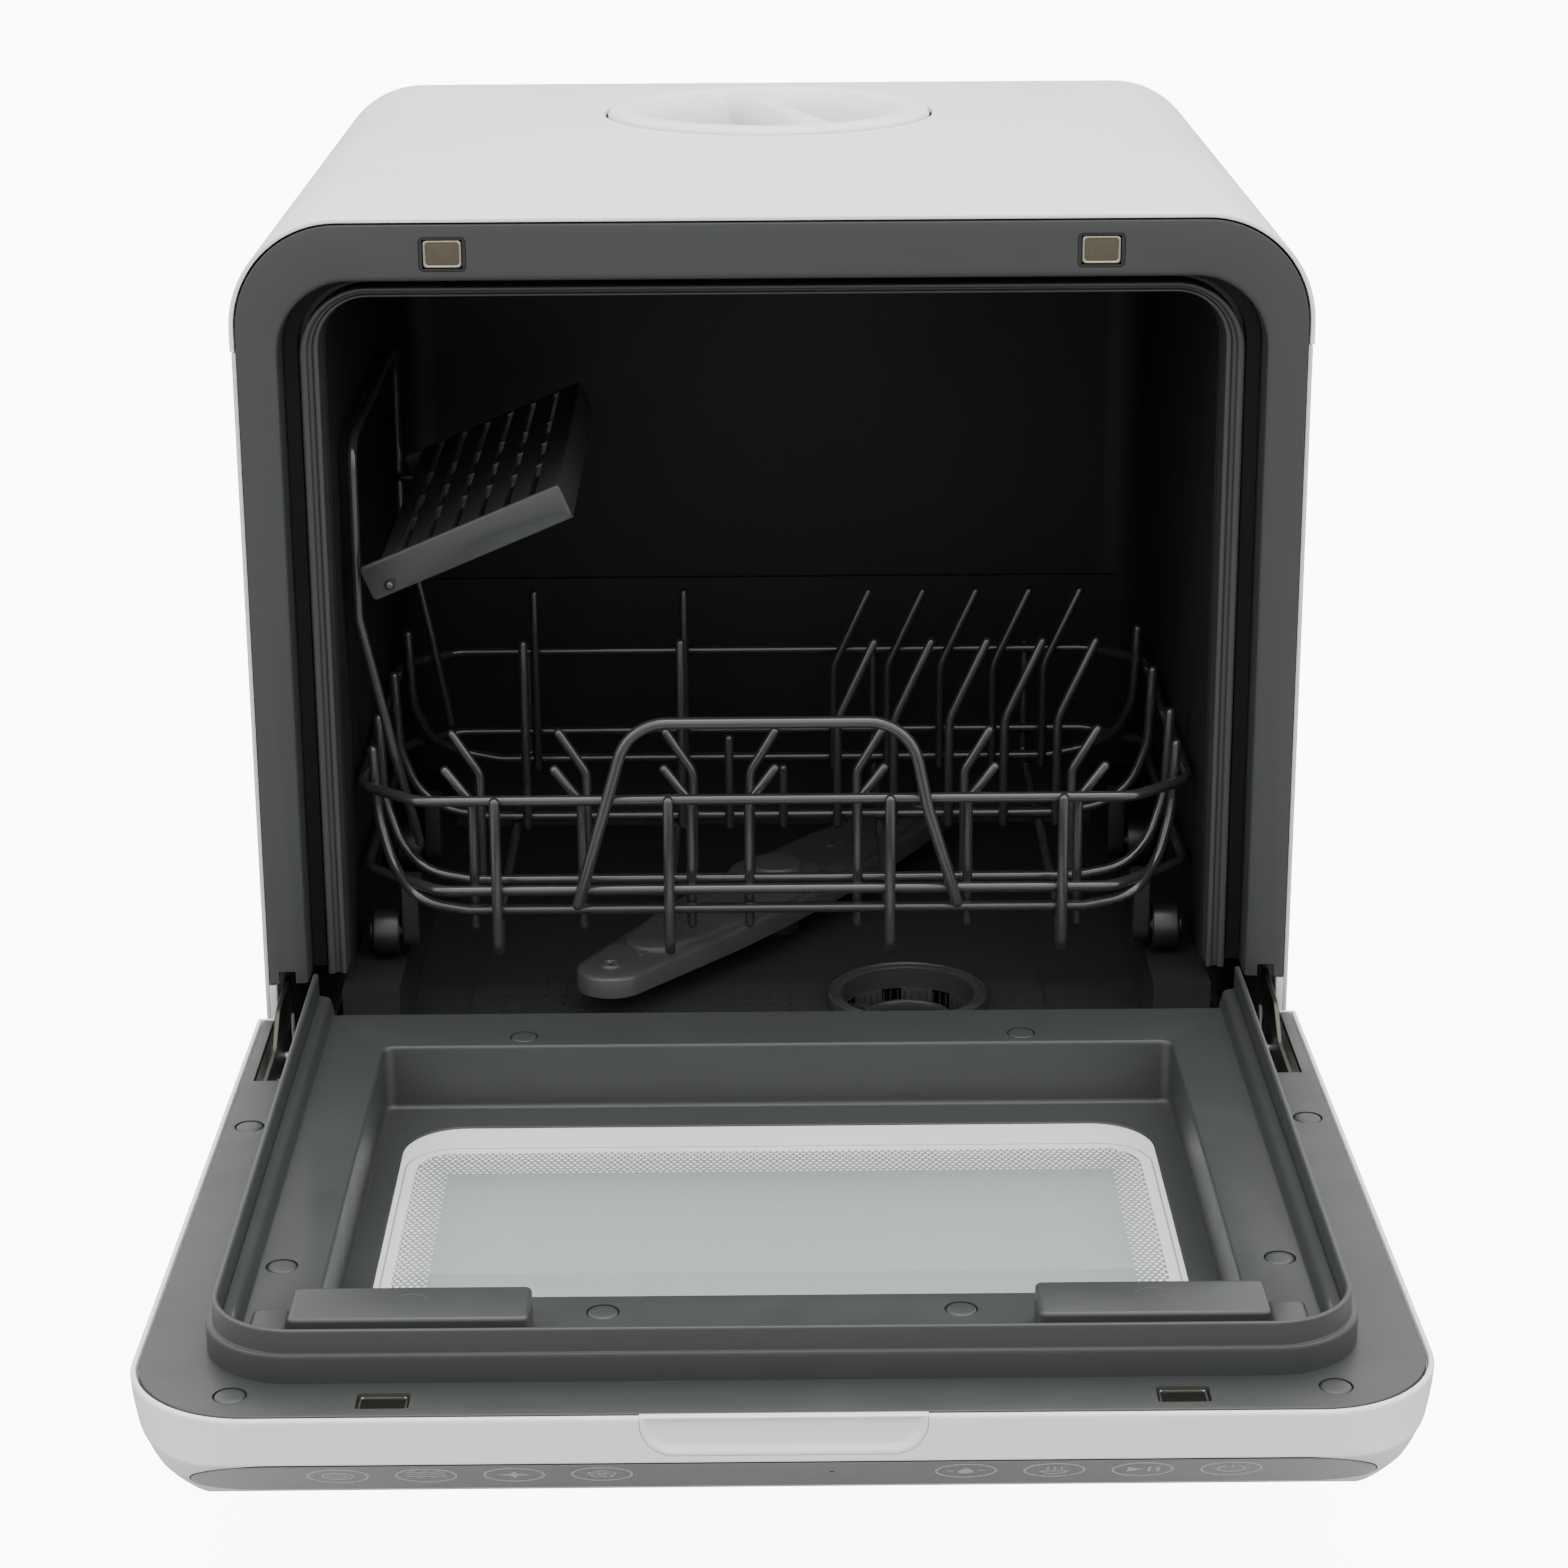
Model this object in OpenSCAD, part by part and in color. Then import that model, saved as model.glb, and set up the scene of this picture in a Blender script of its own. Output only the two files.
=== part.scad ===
// Countertop dishwasher, door open flat, wire rack inside.
// Lengths in millimetres. X runs left to right, Y from the door to the back,
// Z up from the worktop. Each module is drawn about the body's front plane
// (y = 0) and the open door's upper face (z = 0), and put() moves it so that
// the origin is under the middle of the whole machine.

/* [Body] */
// Outside width of the body and the door
body_w = 420; // [418:0.5:422]
// Height of the body's top above the worktop
body_h = 435; // [434:0.5:436]
// Depth of the body behind the front frame
body_d = 392; // [391:0.5:396]
// Height of the open door's upper face above the worktop
door_plane = 112.6; // [112:0.1:113]
// Radius of the body's two upper edges
body_r = 43; // [40:1:45]
// Height of the cover's seam above the open door's upper face
seam_z = 271; // [265:1:273]

/* [Door] */
// Reach of the open door in front of the body
door_reach = 356.5; // [356:0.5:357]
// Thickness of the door
door_t = 42; // [41.5:0.5:42]
// Width of the window in the outer shell
window_w = 294; // [280:1:294]

/* [Rack] */
// Thickness of the coated wire
wire_d = 4.5; // [4:0.1:4.6]
// Half width of the rack's rims
rack_hw = 172; // [170:0.5:172]
// Diameter of a rack wheel
wheel_d = 20; // [19:0.2:20]

/* [Filler cap] */
// Diameter of the filler cap
cap_d = 146.6; // [140:0.2:147]
// Distance of the cap's centre behind the front frame
cap_y = 287.5; // [286:0.5:289]

/* [Hidden] */
$fn = 64;

hw = body_w / 2;
top_z = body_h - door_plane;
y_shift = (door_reach - body_d) / 2;
cover_t = 1.8;
panel_t = 1.8;
// the door turns about this point, the same distance below and in front of the frame's plane
piv = -16.5;
cove_r = 28;
arm_x = 200;
wheel_r = wheel_d / 2;
axle_z = 4.8 + wheel_r;
wheel_ys = [45, 154];
shelf_px = -156;
shelf_pz = 167;
hub_y = 153;
cup_x = 56;
cup_y = 57;
pump_y = 165;
pump_z = -66;

white = [0.90, 0.90, 0.89];
grey = [0.34, 0.35, 0.35];
dark = [0.12, 0.12, 0.13];
steel = [0.72, 0.72, 0.70];
wire_c = [0.45, 0.46, 0.45];

module put() translate([0, y_shift, door_plane]) children();
module ex_z(z0, z1) translate([0, 0, z0]) linear_extrude(z1 - z0) children();
module ex_y(y0, y1) translate([0, y1, 0]) rotate([90, 0, 0]) linear_extrude(y1 - y0) children();
module ex_x(x0, x1) translate([x0, 0, 0]) rotate([90, 0, 90]) linear_extrude(x1 - x0) children();
module blk(x0, x1, y0, y1, z0, z1) translate([x0, y0, z0]) cube([x1 - x0, y1 - y0, z1 - z0]);
module sq(x0, x1, y0, y1) translate([x0, y0]) square([x1 - x0, y1 - y0]);
module rr(x0, x1, y0, y1, r) {
  sq(x0 + r, x1 - r, y0, y1);
  sq(x0, x1, y0 + r, y1 - r);
  for (x = [x0 + r, x1 - r], y = [y0 + r, y1 - r]) translate([x, y]) circle(r);
}
// upright outline with two rounded upper corners
module arch(w, z0, z1, r) {
  sq(-w, w, z0, z1 - r);
  sq(-w + r, w - r, z0, z1);
  for (s = [-1, 1]) translate([s * (w - r), z1 - r]) circle(r);
}
// plan outline of the door with two rounded front corners
module leaf(w, y0, y1, r) {
  sq(-w, w, y0 + r, y1);
  sq(-w + r, w - r, y0, y1);
  for (s = [-1, 1]) translate([s * (w - r), y0 + r]) circle(r);
}
module cyl_x(x0, x1, y, z, r) translate([x0, y, z]) rotate([0, 90, 0]) cylinder(h = x1 - x0, r = r);
module cyl_y(x, y0, y1, z, r) translate([x, y1, z]) rotate([90, 0, 0]) cylinder(h = y1 - y0, r = r);
module cyl_z(x, y, z0, z1, r) translate([x, y, z0]) cylinder(h = z1 - z0, r = r);
// a straight eight-sided wire from p to q, longer by e at each end
module seg(p, q, d = wire_d, e = 0.8) {
  v = q - p;
  l = norm(v);
  translate(p) rotate([0, acos(v[2] / l), atan2(v[1], v[0])]) translate([0, 0, -e]) cylinder(h = l + 2 * e, d = d / cos(22.5), $fn = 8);
}
module run(pts, d = wire_d, e = 0.8) for (i = [0:len(pts) - 2]) seg(pts[i], pts[i + 1], d, e);
// the same with a ball at each bend
module bent(pts, d) {
  run(pts, d, 0);
  for (i = [1:len(pts) - 2]) translate(pts[i]) sphere(d / cos(22.5) * 0.52, $fn = 48);
}
module pair() { children(); mirror([1, 0, 0]) children(); }

// ---- body -------------------------------------------------------------

module base_pan() color(dark) put() {
  difference() {
    ex_z(-104, -88) sq(-206.6, 206.6, -35, body_d - 4);
    ex_z(-101.4, -87) sq(-204, 204, -32.4, body_d - 6.6);
    for (x = [-185, 185], y = [-24, 366]) cyl_z(x, y, -105, -100, 5);
    for (i = [0:8]) blk(-60 + i * 14, -54 + i * 14, 200, 300, -105, -101);
  }
}

module feet() color(dark) put()
  for (x = [-185, 185], y = [-24, 366]) {
    cyl_z(x, y, -door_plane, -104, 13);
    cyl_z(x, y, -104.2, -99.5, 4.95);
  }

module plinth_side(r) difference() {
  union() {
    sq(-38, 8.9, -103.9, piv - cove_r);
    sq(piv, 8.9, piv - cove_r - 0.1, -27.6);
  }
  translate([piv, piv]) circle(r);
}
module plinth() color(white) put() difference() {
  union() {
    ex_x(-hw + 0.6, -hw + 3.1) intersection() { plinth_side(cove_r); sq(-40, -0.2, -110, 0); }
    ex_x(hw - 3.1, hw - 0.6) intersection() { plinth_side(cove_r); sq(-40, -0.2, -110, 0); }
    ex_x(-206.9, 206.9) difference() {
      plinth_side(cove_r);
      difference() {
        union() { sq(-35.5, 20, -105, -47); sq(piv, 6.4, -48, -20); }
        translate([piv, piv]) circle(cove_r + 2.5);
      }
      sq(6, 20, -105, -60);
    }
  }
  // slots for the hinge brackets and the tails of the arms
  for (s = [-1, 1]) blk(s * arm_x - 7.5, s * arm_x + 7.5, -22, 12, -62, -20);
}

module top_cover() color(white) put() difference() {
  ex_y(0, body_d - 3) intersection() { arch(hw, seam_z - 60, top_z, body_r); sq(-hw, hw, seam_z, top_z); }
  ex_y(-1, body_d) arch(hw - cover_t, seam_z - 60, top_z - cover_t, body_r - cover_t);
  cyl_z(0, cap_y, top_z - 10, top_z + 10, cap_d / 2 + 1.7);
}

module side_panel() {
  blk(hw - 0.6 - panel_t, hw - 0.6, 0, body_d - 3, -104, seam_z - 0.3);
  blk(hw - 4.2, hw - 0.6 - panel_t + 0.4, 4, body_d - 5, seam_z - 8, seam_z + 8);
  // block beside the hinge arm
  blk(204.6, hw - 0.6 - panel_t + 0.2, 0.3, 12, -12, 8.3);
}
module side_panel_right() color(white) put() side_panel();
module side_panel_left() color(white) put() mirror([1, 0, 0]) side_panel();

module back_panel() color(white) put() difference() {
  ex_y(body_d - 3, body_d) arch(hw, -104, top_z, body_r);
  for (j = [0:1], i = [0:7]) ex_y(body_d - 5, body_d + 5) rr(60 + i * 14, 66 + i * 14, -20 + j * 60, 30 + j * 60, 2.9);
  ex_y(body_d - 5, body_d + 5) rr(-184, -76, -84.5, -31.5, 6);
  ex_y(body_d - 5, body_d + 5) rr(124, 176, -84.5, -31.5, 6);
}

module recess(x0, x1) difference() {
  ex_y(body_d - 24, body_d - 3) rr(x0 - 3, x1 + 3, -87.5, -28.5, 9);
  ex_y(body_d - 21.5, body_d) rr(x0, x1, -84.5, -31.5, 6);
}
module port_recess() color(dark) put() difference() {
  union() { recess(-184, -76); recess(124, 176); }
  cyl_y(-155, body_d - 30, body_d, -60, 14.2);
  cyl_y(-100, body_d - 30, body_d, -60, 10.4);
  cyl_y(150, body_d - 30, body_d, -60, 9.3);
}

module inlet_valve() color(dark) put() {
  difference() {
    union() { cyl_y(-155, body_d - 21, body_d - 6, -60, 13.2); cyl_y(-155, 350, body_d - 20, -60, 12); }
    cyl_y(-155, 349, body_d, -60, 9);
  }
  difference() {
    blk(-176, -134, 318, 350.2, -76, -40);
    cyl_y(-155, 326, 351, -60, 9);
    cyl_y(-155, 310, 330, -60, 5);
  }
  cyl_x(-168, -142, 333, -30, 10.2);
}
module drain_spigot() color(dark) put() difference() {
  union() {
    cyl_y(-100, body_d - 21, body_d - 6, -60, 9.5);
    cyl_y(-100, 352, body_d - 20, -60, 9);
    cyl_y(-100, 362, body_d - 24.2, -60, 14);
  }
  cyl_y(-100, 350, body_d, -60, 7);
}
module power_gland() color(dark) put() difference() {
  union() {
    cyl_y(150, body_d - 32, body_d - 12, -60, 9);
    cyl_y(150, body_d - 21.4, body_d - 15, -60, 13);
  }
  cyl_y(150, body_d - 34, body_d, -60, 4.2);
}

module front_frame() color(grey) put() difference() {
  union() {
    ex_y(0, 2.6) difference() { arch(207.4, 9.5, top_z - 2.5, 40.5); arch(191.6, 0, 297.8, 28.7); }
    ex_y(0, 26.5) difference() { arch(194.6, 9.5, 300.4, 31.3); arch(191.6, 0, 297.8, 28.7); }
    ex_y(24, 26.5) difference() { arch(195.2, 5, 300.8, 31.7); arch(177, 0, 290, 20); }
    ex_y(10.5, 26.5) difference() { arch(184.5, 5, 293.4, 27.5); arch(177, 0, 290, 20); }
  }
  for (s = [-1, 1]) {
    blk(s * arm_x - 3.4, s * arm_x + 3.4, -1, 4, 0, 14.5);
    ex_y(-1, 4) rr(s * 126.5 - 9.2, s * 126.5 + 9.2, 301.7, 315, 2);
  }
}
module frame_gasket() color(dark) put() ex_y(18.8, 24) difference() {
  arch(191.4, 10, 297.6, 28.5);
  arch(185.9, 8, 295, 26);
}
module magnet_holders() color(dark) put() for (s = [-1, 1]) difference() {
  ex_y(0.1, 8) rr(s * 126.5 - 9, s * 126.5 + 9, 301.9, 314.8, 1.9);
  ex_y(-1, 5.2) sq(s * 126.5 - 7.7, s * 126.5 + 7.7, 302.8, 314);
}
module door_magnets() color(steel) put() for (s = [-1, 1]) ex_y(0.3, 5.1) sq(s * 126.5 - 7.6, s * 126.5 + 7.6, 302.9, 313.9);

module tub() color(dark) put() difference() {
  union() {
    difference() {
      ex_y(26.5, 302.5) arch(178.5, -27.5, 292.5, 22.5);
      intersection() {
        ex_y(20, 300) arch(176, -25, 290, 20);
        translate([0, 0, -30]) linear_extrude(330) mirror([0, 1]) leaf(176, -300, -10, 18);
      }
    }
    // sill below the opening
    blk(-178.5, 178.5, 6.5, 26.6, -27.5, -25);
    blk(-178.5, 178.5, 4.5, 7, -27.5, -9);
    // side ledges that carry the wheels
    for (s = [-1, 1]) {
      x0 = s > 0 ? 155 : -178.5;
      x1 = s > 0 ? 178.5 : -155;
      blk(x0, x1, 4.5, 298, 2.2, 4.5);
      blk(s > 0 ? 155 : -157.4, s > 0 ? 157.4 : -155, 4.5, 298, -26, 3);
      blk(x0, x1, 4.5, 7, -27.5, 3);
      blk(s > 0 ? 176 : -178.5, s > 0 ? 178.5 : -176, 4.5, 27, -27.5, 3);
    }
    blk(-176.2, 176.2, 297, 300.2, -26, 100);
  }
  cyl_z(cup_x, cup_y, -30, -20, 38);
  cyl_z(0, hub_y, -30, -20, 11);
  cyl_z(55, 60, 285, 300, 3);
}
module ceiling_nozzle() color(grey) put() {
  cyl_z(55, 60, 289.6, 296, 2.9);
  cyl_z(55, 60, 284, 289.9, 5);
}
module filter_plate() color(grey) put() difference() {
  ex_z(-24.9, -23.3) rr(-130, 114, 9, 102, 14);
  cyl_z(cup_x, cup_y, -30, -20, 31.4);
  for (i = [0:7], j = [0:5]) cyl_hole(-116 + 8.5 * i, 50 + 8.5 * j);
  for (i = [0:2], j = [0:5]) cyl_hole(-12 + 9 * i, 38 + 8.5 * j);
  for (i = [0:1], j = [0:4]) cyl_hole(100 + 7 * i, 38 + 8.5 * j);
}
module cyl_hole(x, y) translate([x, y, -30]) cylinder(h = 10, r = 1.1, $fn = 8);

module sump() color(dark) put() difference() {
  union() {
    cyl_z(cup_x, cup_y, -88, -27.5, 44);
    cyl_y(cup_x - 22, 95, 126, pump_z, 11);
    cyl_x(-14, 20, cup_y, -78, 8.5);
  }
  cyl_z(cup_x, cup_y, -85.5, -20, 41.5);
  cyl_y(cup_x - 22, 80, 130, pump_z, 8.8);
  cyl_x(-20, 30, cup_y, -78, 6.5);
}
module spray_post() color(grey) put() difference() {
  union() {
    cyl_z(0, hub_y, -31, -13, 10.6);
    cyl_z(0, hub_y, -30.4, -27.6, 16);
    cyl_z(0, hub_y, -13.2, 3.5, 7.9);
  }
  cyl_z(0, hub_y, -40, -3, 5.5);
  cyl_x(-12, 12, hub_y, -7, 2);
}

module tank_side(i) polygon([[205 + i, 294.8 + i], [205 + i, 317 - i], [385.5 - i, 317 - i], [385.5 - i, -20 + i], [306 + i, -20 + i], [306 + i, 294.8 + i]]);
module water_tank() color([0.8, 0.85, 0.87]) put() difference() {
  union() {
    ex_x(-150, 150) tank_side(0);
    cyl_z(0, cap_y, 315, 318.2, 71);
    cyl_z(-120, 345, -32, -19, 8);
  }
  ex_x(-148, 148) tank_side(2);
  cyl_z(0, cap_y, 310, 325, 63.6);
  cyl_z(-120, 345, -35, -15, 6);
}

module pump_volute() color(dark) put() difference() {
  union() {
    cyl_x(14, 46, pump_y, pump_z, 34);
    cyl_y(34, 126, 150, pump_z, 11.2);
    cyl_z(0, hub_y, -56, -31.2, 9);
    cyl_x(0, 16, hub_y, -47, 9);
  }
  cyl_z(0, hub_y, -54, -30, 6.5);
  cyl_x(0, 20, hub_y, -47, 6.5);
  cyl_x(16.5, 43.5, pump_y, pump_z, 31.5);
  cyl_x(40, 50, pump_y, pump_z, 9);
  cyl_y(34, 120, 150, pump_z, 8.8);
}
module pump_motor() color([0.3, 0.3, 0.32]) put() difference() {
  union() {
    cyl_x(46, 112, pump_y, pump_z, 29);
    cyl_x(112, 120, pump_y, pump_z, 12);
  }
  cyl_x(45, 80, pump_y, pump_z, 3.05);
}
module pump_impeller() color(white) put() difference() {
  union() {
    cyl_x(19, 78, pump_y, pump_z, 3);
    cyl_x(20, 22, pump_y, pump_z, 27);
    cyl_x(20, 40, pump_y, pump_z, 6.5);
    for (i = [0:5]) translate([0, pump_y, pump_z]) rotate([i * 60, 0, 0]) blk(21.5, 36, 5, 26, -1, 1);
  }
}
module drain_pump() color(dark) put() {
  cyl_x(-62, -14.2, cup_y, -78, 20);
  cyl_x(-92, -62, cup_y, -78, 17);
  cyl_y(-40, cup_y, 92, -66, 7);
}
module water_heater() color(steel) put() difference() {
  union() {
    cyl_x(-120, 0, 240, -66, 17);
    cyl_z(-20, 240, -66, -38, 7);
    blk(-122, -112, 226, 254, -80, -46);
  }
  cyl_x(-105, -6, 240, -66, 15);
}
// hoses are clipped along the base in straight lengths
module hose(pts, d) run(pts, d, 1.5);
module fill_hose() color([0.6, 0.62, 0.62]) put() hose([[-155, 317.5, -60], [-155, 296, -60], [-155, 296, -40], [-137, 240, -40], [-137, 240, -66], [-123.5, 240, -66]], 12);
module drain_hose() color([0.25, 0.25, 0.25]) put() hose([[-40, 92, -66], [-70, 130, -93], [-100, 300, -93], [-100, 338, -60], [-100, 351.8, -60]], 13);
module power_board() color([0.1, 0.35, 0.2]) put() {
  blk(110, 196, 230, 340, -96, -94.2);
  blk(120, 148, 240, 272, -94.3, -74);
  blk(156, 188, 244, 262, -94.3, -80);
  for (i = [0:3]) cyl_z(164 + 0, 280 + i * 14, -94.3, -76, 6);
  blk(118, 142, 300, 330, -94.3, -82);
}

// ---- hinge ------------------------------------------------------------

module bracket() difference() {
  union() {
    ex_x(arm_x - 5.8, arm_x - 3.8) {
      translate([piv, piv]) circle(8);
      sq(piv, 34, piv - 8, piv + 8);
      sq(20, 34, -101.3, piv + 8);
    }
    blk(arm_x - 5.8, arm_x + 3, 20, 34, -101.3, -99);
  }
  cyl_x(arm_x - 7, arm_x - 3, piv, piv, 2.95);
}
module hinge_brackets() color(steel) put() pair() bracket();
module hinge_pins() color(steel) put() pair() {
  cyl_x(arm_x - 6.6, arm_x + 3.2, piv, piv, 3);
  cyl_x(arm_x - 7.4, arm_x - 5.9, piv, piv, 4.2);
}
module arm() difference() {
  ex_x(arm_x - 0.2, arm_x + 1.8) polygon([[-77.6, -3.2], [-42, -3.2], [-26.5, 8], [1, 10.2], [9, 10.2], [13, 3], [9.5, -5.5], [-3, -8], [-8, -22],
    [-16.5, -26], [-27, -22], [-34, -15], [-77.6, -15]]);
  cyl_x(arm_x - 3, arm_x + 3, piv, piv, 3.05);
  cyl_x(arm_x - 3, arm_x + 3, 7.5, -1, 2);
}
module hinge_arms() color(dark) put() pair() arm();

// tension spring between the arm's tail and the base pan: a close-wound body with
// a straight rod at each end
module spring(z0, z1) {
  rotate_extrude($fn = 32) for (i = [0:23]) translate([3, (z0 + z1) / 2 - 17.25 + i * 1.5]) circle(0.8, $fn = 16);
  cyl_z(0, 0, (z0 + z1) / 2 - 18, (z0 + z1) / 2 - 16.8, 3.1);
  cyl_z(0, 0, (z0 + z1) / 2 + 16.8, (z0 + z1) / 2 + 18, 3.1);
  cyl_z(0, 0, z0, (z0 + z1) / 2 - 17, 0.8);
  cyl_z(0, 0, (z0 + z1) / 2 + 17, z1, 0.8);
}
module door_springs() color(steel) put() for (s = [-1, 1]) translate([s * arm_x, 9, 0]) spring(-98, -7);

// ---- door (drawn open) --------------------------------------------------

// side view of the door: i is the inset from the outer face
function arc_end(r) = [for (a = [-90:3:-51]) [piv + r * cos(a), piv + r * sin(a)]];
module door_side(i) polygon(concat(
  [[-door_reach + i, 3], [-door_reach + i, -17 - i * 0.45], [-329.5 + i * 0.4, -40.4 + i], [-327.4 + i * 0.4, -door_t + i]],
  arc_end(door_t + piv - i), [[-13 - i, -1.5], [-13 - i, 3]]));
// half widths of the door at its front and hinge ends: it widens slightly towards the front
door_fw = hw + 3.7;
door_rw = hw + 1;
corner_y = 42 - door_reach;
taper = atan((door_fw - door_rw) / (20 - corner_y));
door_rx = door_rw + 42 / cos(taper) - 42;
// plan outline, inset by i, ending at y = yb; its sides run off the corner circles at a tangent
module door_plan(i, yb) {
  c = door_fw - 42;
  px = c + (42 - i) * cos(taper);
  py = corner_y + (42 - i) * sin(taper);
  rx = px - (yb - py) * tan(taper);
  polygon([[-rx, yb], [-px, py], [-c, corner_y], [-c, -door_reach + i],
    [c, -door_reach + i], [c, corner_y], [px, py], [rx, yb]]);
  for (s = [-1, 1]) translate([s * c, corner_y]) circle(42 - i);
}
corner_r = 26;
// rounds the two ends of the slanted front
module corner_cut(i) strip_place() pair() translate([0, 0, -60]) linear_extrude(90) difference() {
  sq(door_fw - 1 - corner_r, door_fw + 5, -5, corner_r);
  translate([door_fw - 1 - corner_r, corner_r]) circle(corner_r - i);
}
// rounds the lower edges along the sides
module edge_cut(i) pair() translate([door_rx, 20, 0]) rotate([0, 0, taper]) ex_y(-400, 20) difference() {
  sq(-14, 8, -60, -28);
  translate([-14, -28]) circle(14 - i);
}
module door_solid(i) difference() {
  intersection() {
    ex_x(-door_fw - 5, door_fw + 5) door_side(i);
    ex_z(-door_t - 1, 5) door_plan(i, 20);
  }
  corner_cut(i);
  edge_cut(i);
}
module slot_cut(z0, z1) pair() blk(arm_x - 8, arm_x + 4.3, -78.6, 20, z0, z1);
module window2(w, y0, y1, r) rr(-w, w, y0, y1, r);
cap_pts = [[178, -337.5], [-178, -337.5], [200, -122.5], [-200, -122.5], [172, -249], [-172, -249], [60, -286], [-60, -286], [97, -42.5], [-101, -42.5]];
function cap_top(p) = abs(p[0]) > 175 ? -0.45 : 2.5;

module door_outer() color(white) put() difference() {
  union() {
    difference() {
      intersection() {
        door_solid(0);
        ex_z(-60, -0.4) sq(-300, 300, -400, 20);
      }
      door_solid(2.5);
    }
    // collar round the window
    ex_z(-door_t, -36.4) window2(window_w / 2 + 8, -260, -66, 30);
    ex_z(-37, -29.8) window2(window_w / 2 + 2, -256, -69, 26);
    // screw bosses, and pads that the hinge arms are screwed to
    intersection() {
      door_solid(1);
      union() {
        for (p = cap_pts) if (abs(p[0]) < 195) cyl_z(p[0], p[1], p[1] < -330 ? -34 : -door_t + 1, -12, 4.5);
        pair() blk(195.6, 204.4, -126.9, -118.1, -door_t + 1, -12);
        pair() blk(arm_x - 4, arm_x + 3.6, -77.6, -42, -40, -15);
      }
    }
  }
  ex_z(-45, -38.9) window2(window_w / 2 + 5.3, -258.3, -67.7, 28);
  ex_z(-45, -20) window2(window_w / 2 - 0.2, -253.5, -71.5, 24);
  for (p = cap_pts) cyl_z(p[0], p[1], p[1] < -330 ? -25 : -34, -10, 1.8);
  // slots for the hinge arms and brackets through the hinge end
  pair() blk(arm_x - 8, arm_x + 4.3, -38, 20, -39, 5);
  // pocket for the grip and seat for the control strip
  ex_y(-door_reach - 1, -door_reach + 4) rr(-45.5, 45.5, -13, 20, 11);
  difference() {
    strip_place() ex_y(-10, 12) strip2(190.4, -34.4, 0.2);
    door_solid(1.9);
  }
  strip_place() blk(-165, 165, -10, 5, -29, -6);
}

module door_inner() color(grey) put() difference() {
  union() {
    ex_z(-3, -0.4) door_plan(2.8, -15.8);
    // floor inside the rim
    ex_z(-3, 2.5) leaf(186.5, -328, -23, 28);
    // stepped rim that enters the channel of the front frame
    difference() {
      union() {
        ex_z(-3, 9.5) difference() { leaf(190.5, -329.8, -11.5, 31.2); leaf(185.8, -327, -5, 27.6); }
        ex_z(-3, 18) difference() { leaf(188, -328.8, -11.5, 29.6); leaf(185.8, -327, -5, 27.6); }
      }
      blk(-200, 200, -15.9, 0, -5, -0.3);
    }
    // side ledges just inside the rim
    for (s = [-1, 1]) blk(s > 0 ? 180.5 : -186, s > 0 ? 186 : -180.5, -300, -13.5, 0, 9);
    // raised blocks near the front
    ex_z(0, 15) { rr(-162, -83, -315, -291, 2.5); rr(84, 160, -315, -291, 2.5); }
    // walls and floor of the window well
    ex_z(-26, 0) sq(-158.2, 158.2, -275.2, -49.8);
  }
  ex_z(-24, 5) rr(-156, 156, -273, -52, 4);
  ex_z(-27, -20) window2(146, -253.5, -71, 24);
  slot_cut(-10, 5);
  for (s = [-1, 1]) {
    ex_z(-5, 2) sq(s * 128.4 - 8.6, s * 128.4 + 8.6, -347.2, -336.8);
  }
  for (p = cap_pts) {
    cyl_z(p[0], p[1], cap_top(p) - 1.6, 6, 5.6);
    cyl_z(p[0], p[1], -10, 6, 1.9);
  }
}
module screw_caps() color([0.3, 0.31, 0.31]) put() for (p = cap_pts) cyl_z(p[0], p[1], cap_top(p) - 1.5, cap_top(p) + 0.2, 5.5);
module door_screws() color(steel) put() for (p = cap_pts) cyl_z(p[0], p[1], p[1] < -330 ? -24 : -30, cap_top(p) - 1.7, 1.75);
module door_strikes() color(steel) put() for (s = [-1, 1]) {
  ex_z(-4.2, -3) sq(s * 128.4 - 10, s * 128.4 + 10, -350, -334.6);
  ex_z(-3.1, -1.3) sq(s * 128.4 - 8.1, s * 128.4 + 8.1, -346.9, -337.2);
}
module outer_window() color([0.72, 0.75, 0.74, 0.4]) put() ex_z(-door_t, -39) window2(window_w / 2 + 5, -258, -68, 27.7);
module inner_window() color([0.72, 0.75, 0.74, 0.4]) put() {
  ex_z(-29.3, -26.6) window2(151, -258.5, -66, 27);
  ex_z(-26.7, -24.5) window2(145.6, -253.1, -71.4, 23.6);
}
module window_gasket() color(dark) put() {
  difference() {
    ex_z(-29.6, -26) window2(154, -261.5, -63, 30);
    ex_z(-31, -26.5) window2(151.2, -258.7, -65.8, 27.2);
    ex_z(-31, -20) window2(147.5, -255, -69.5, 25);
  }
}
module strip_place() translate([0, -door_reach, -17.2]) rotate([49.1, 0, 0]) children();
module strip2(w, z0, z1) rr(-w, w, z0, z1, (z1 - z0) / 2 - 0.01);
module control_panel() color([0.5, 0.5, 0.51]) put() intersection() {
  strip_place() ex_y(-10, 12) strip2(190, -34, -0.2);
  difference() { door_solid(0); door_solid(1.8); }
}
module touch_board() color([0.1, 0.35, 0.2]) put()
  strip_place() {
    ex_y(7, 8.6) sq(-160, 160, -28, -7);
    for (x = [58, 86.3, 114.6, 143], s = [-1, 1]) cyl_y(s * x, 2, 7.1, -14, 6);
    cyl_y(16, 2, 7.1, -14, 1.5);
  }
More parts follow.
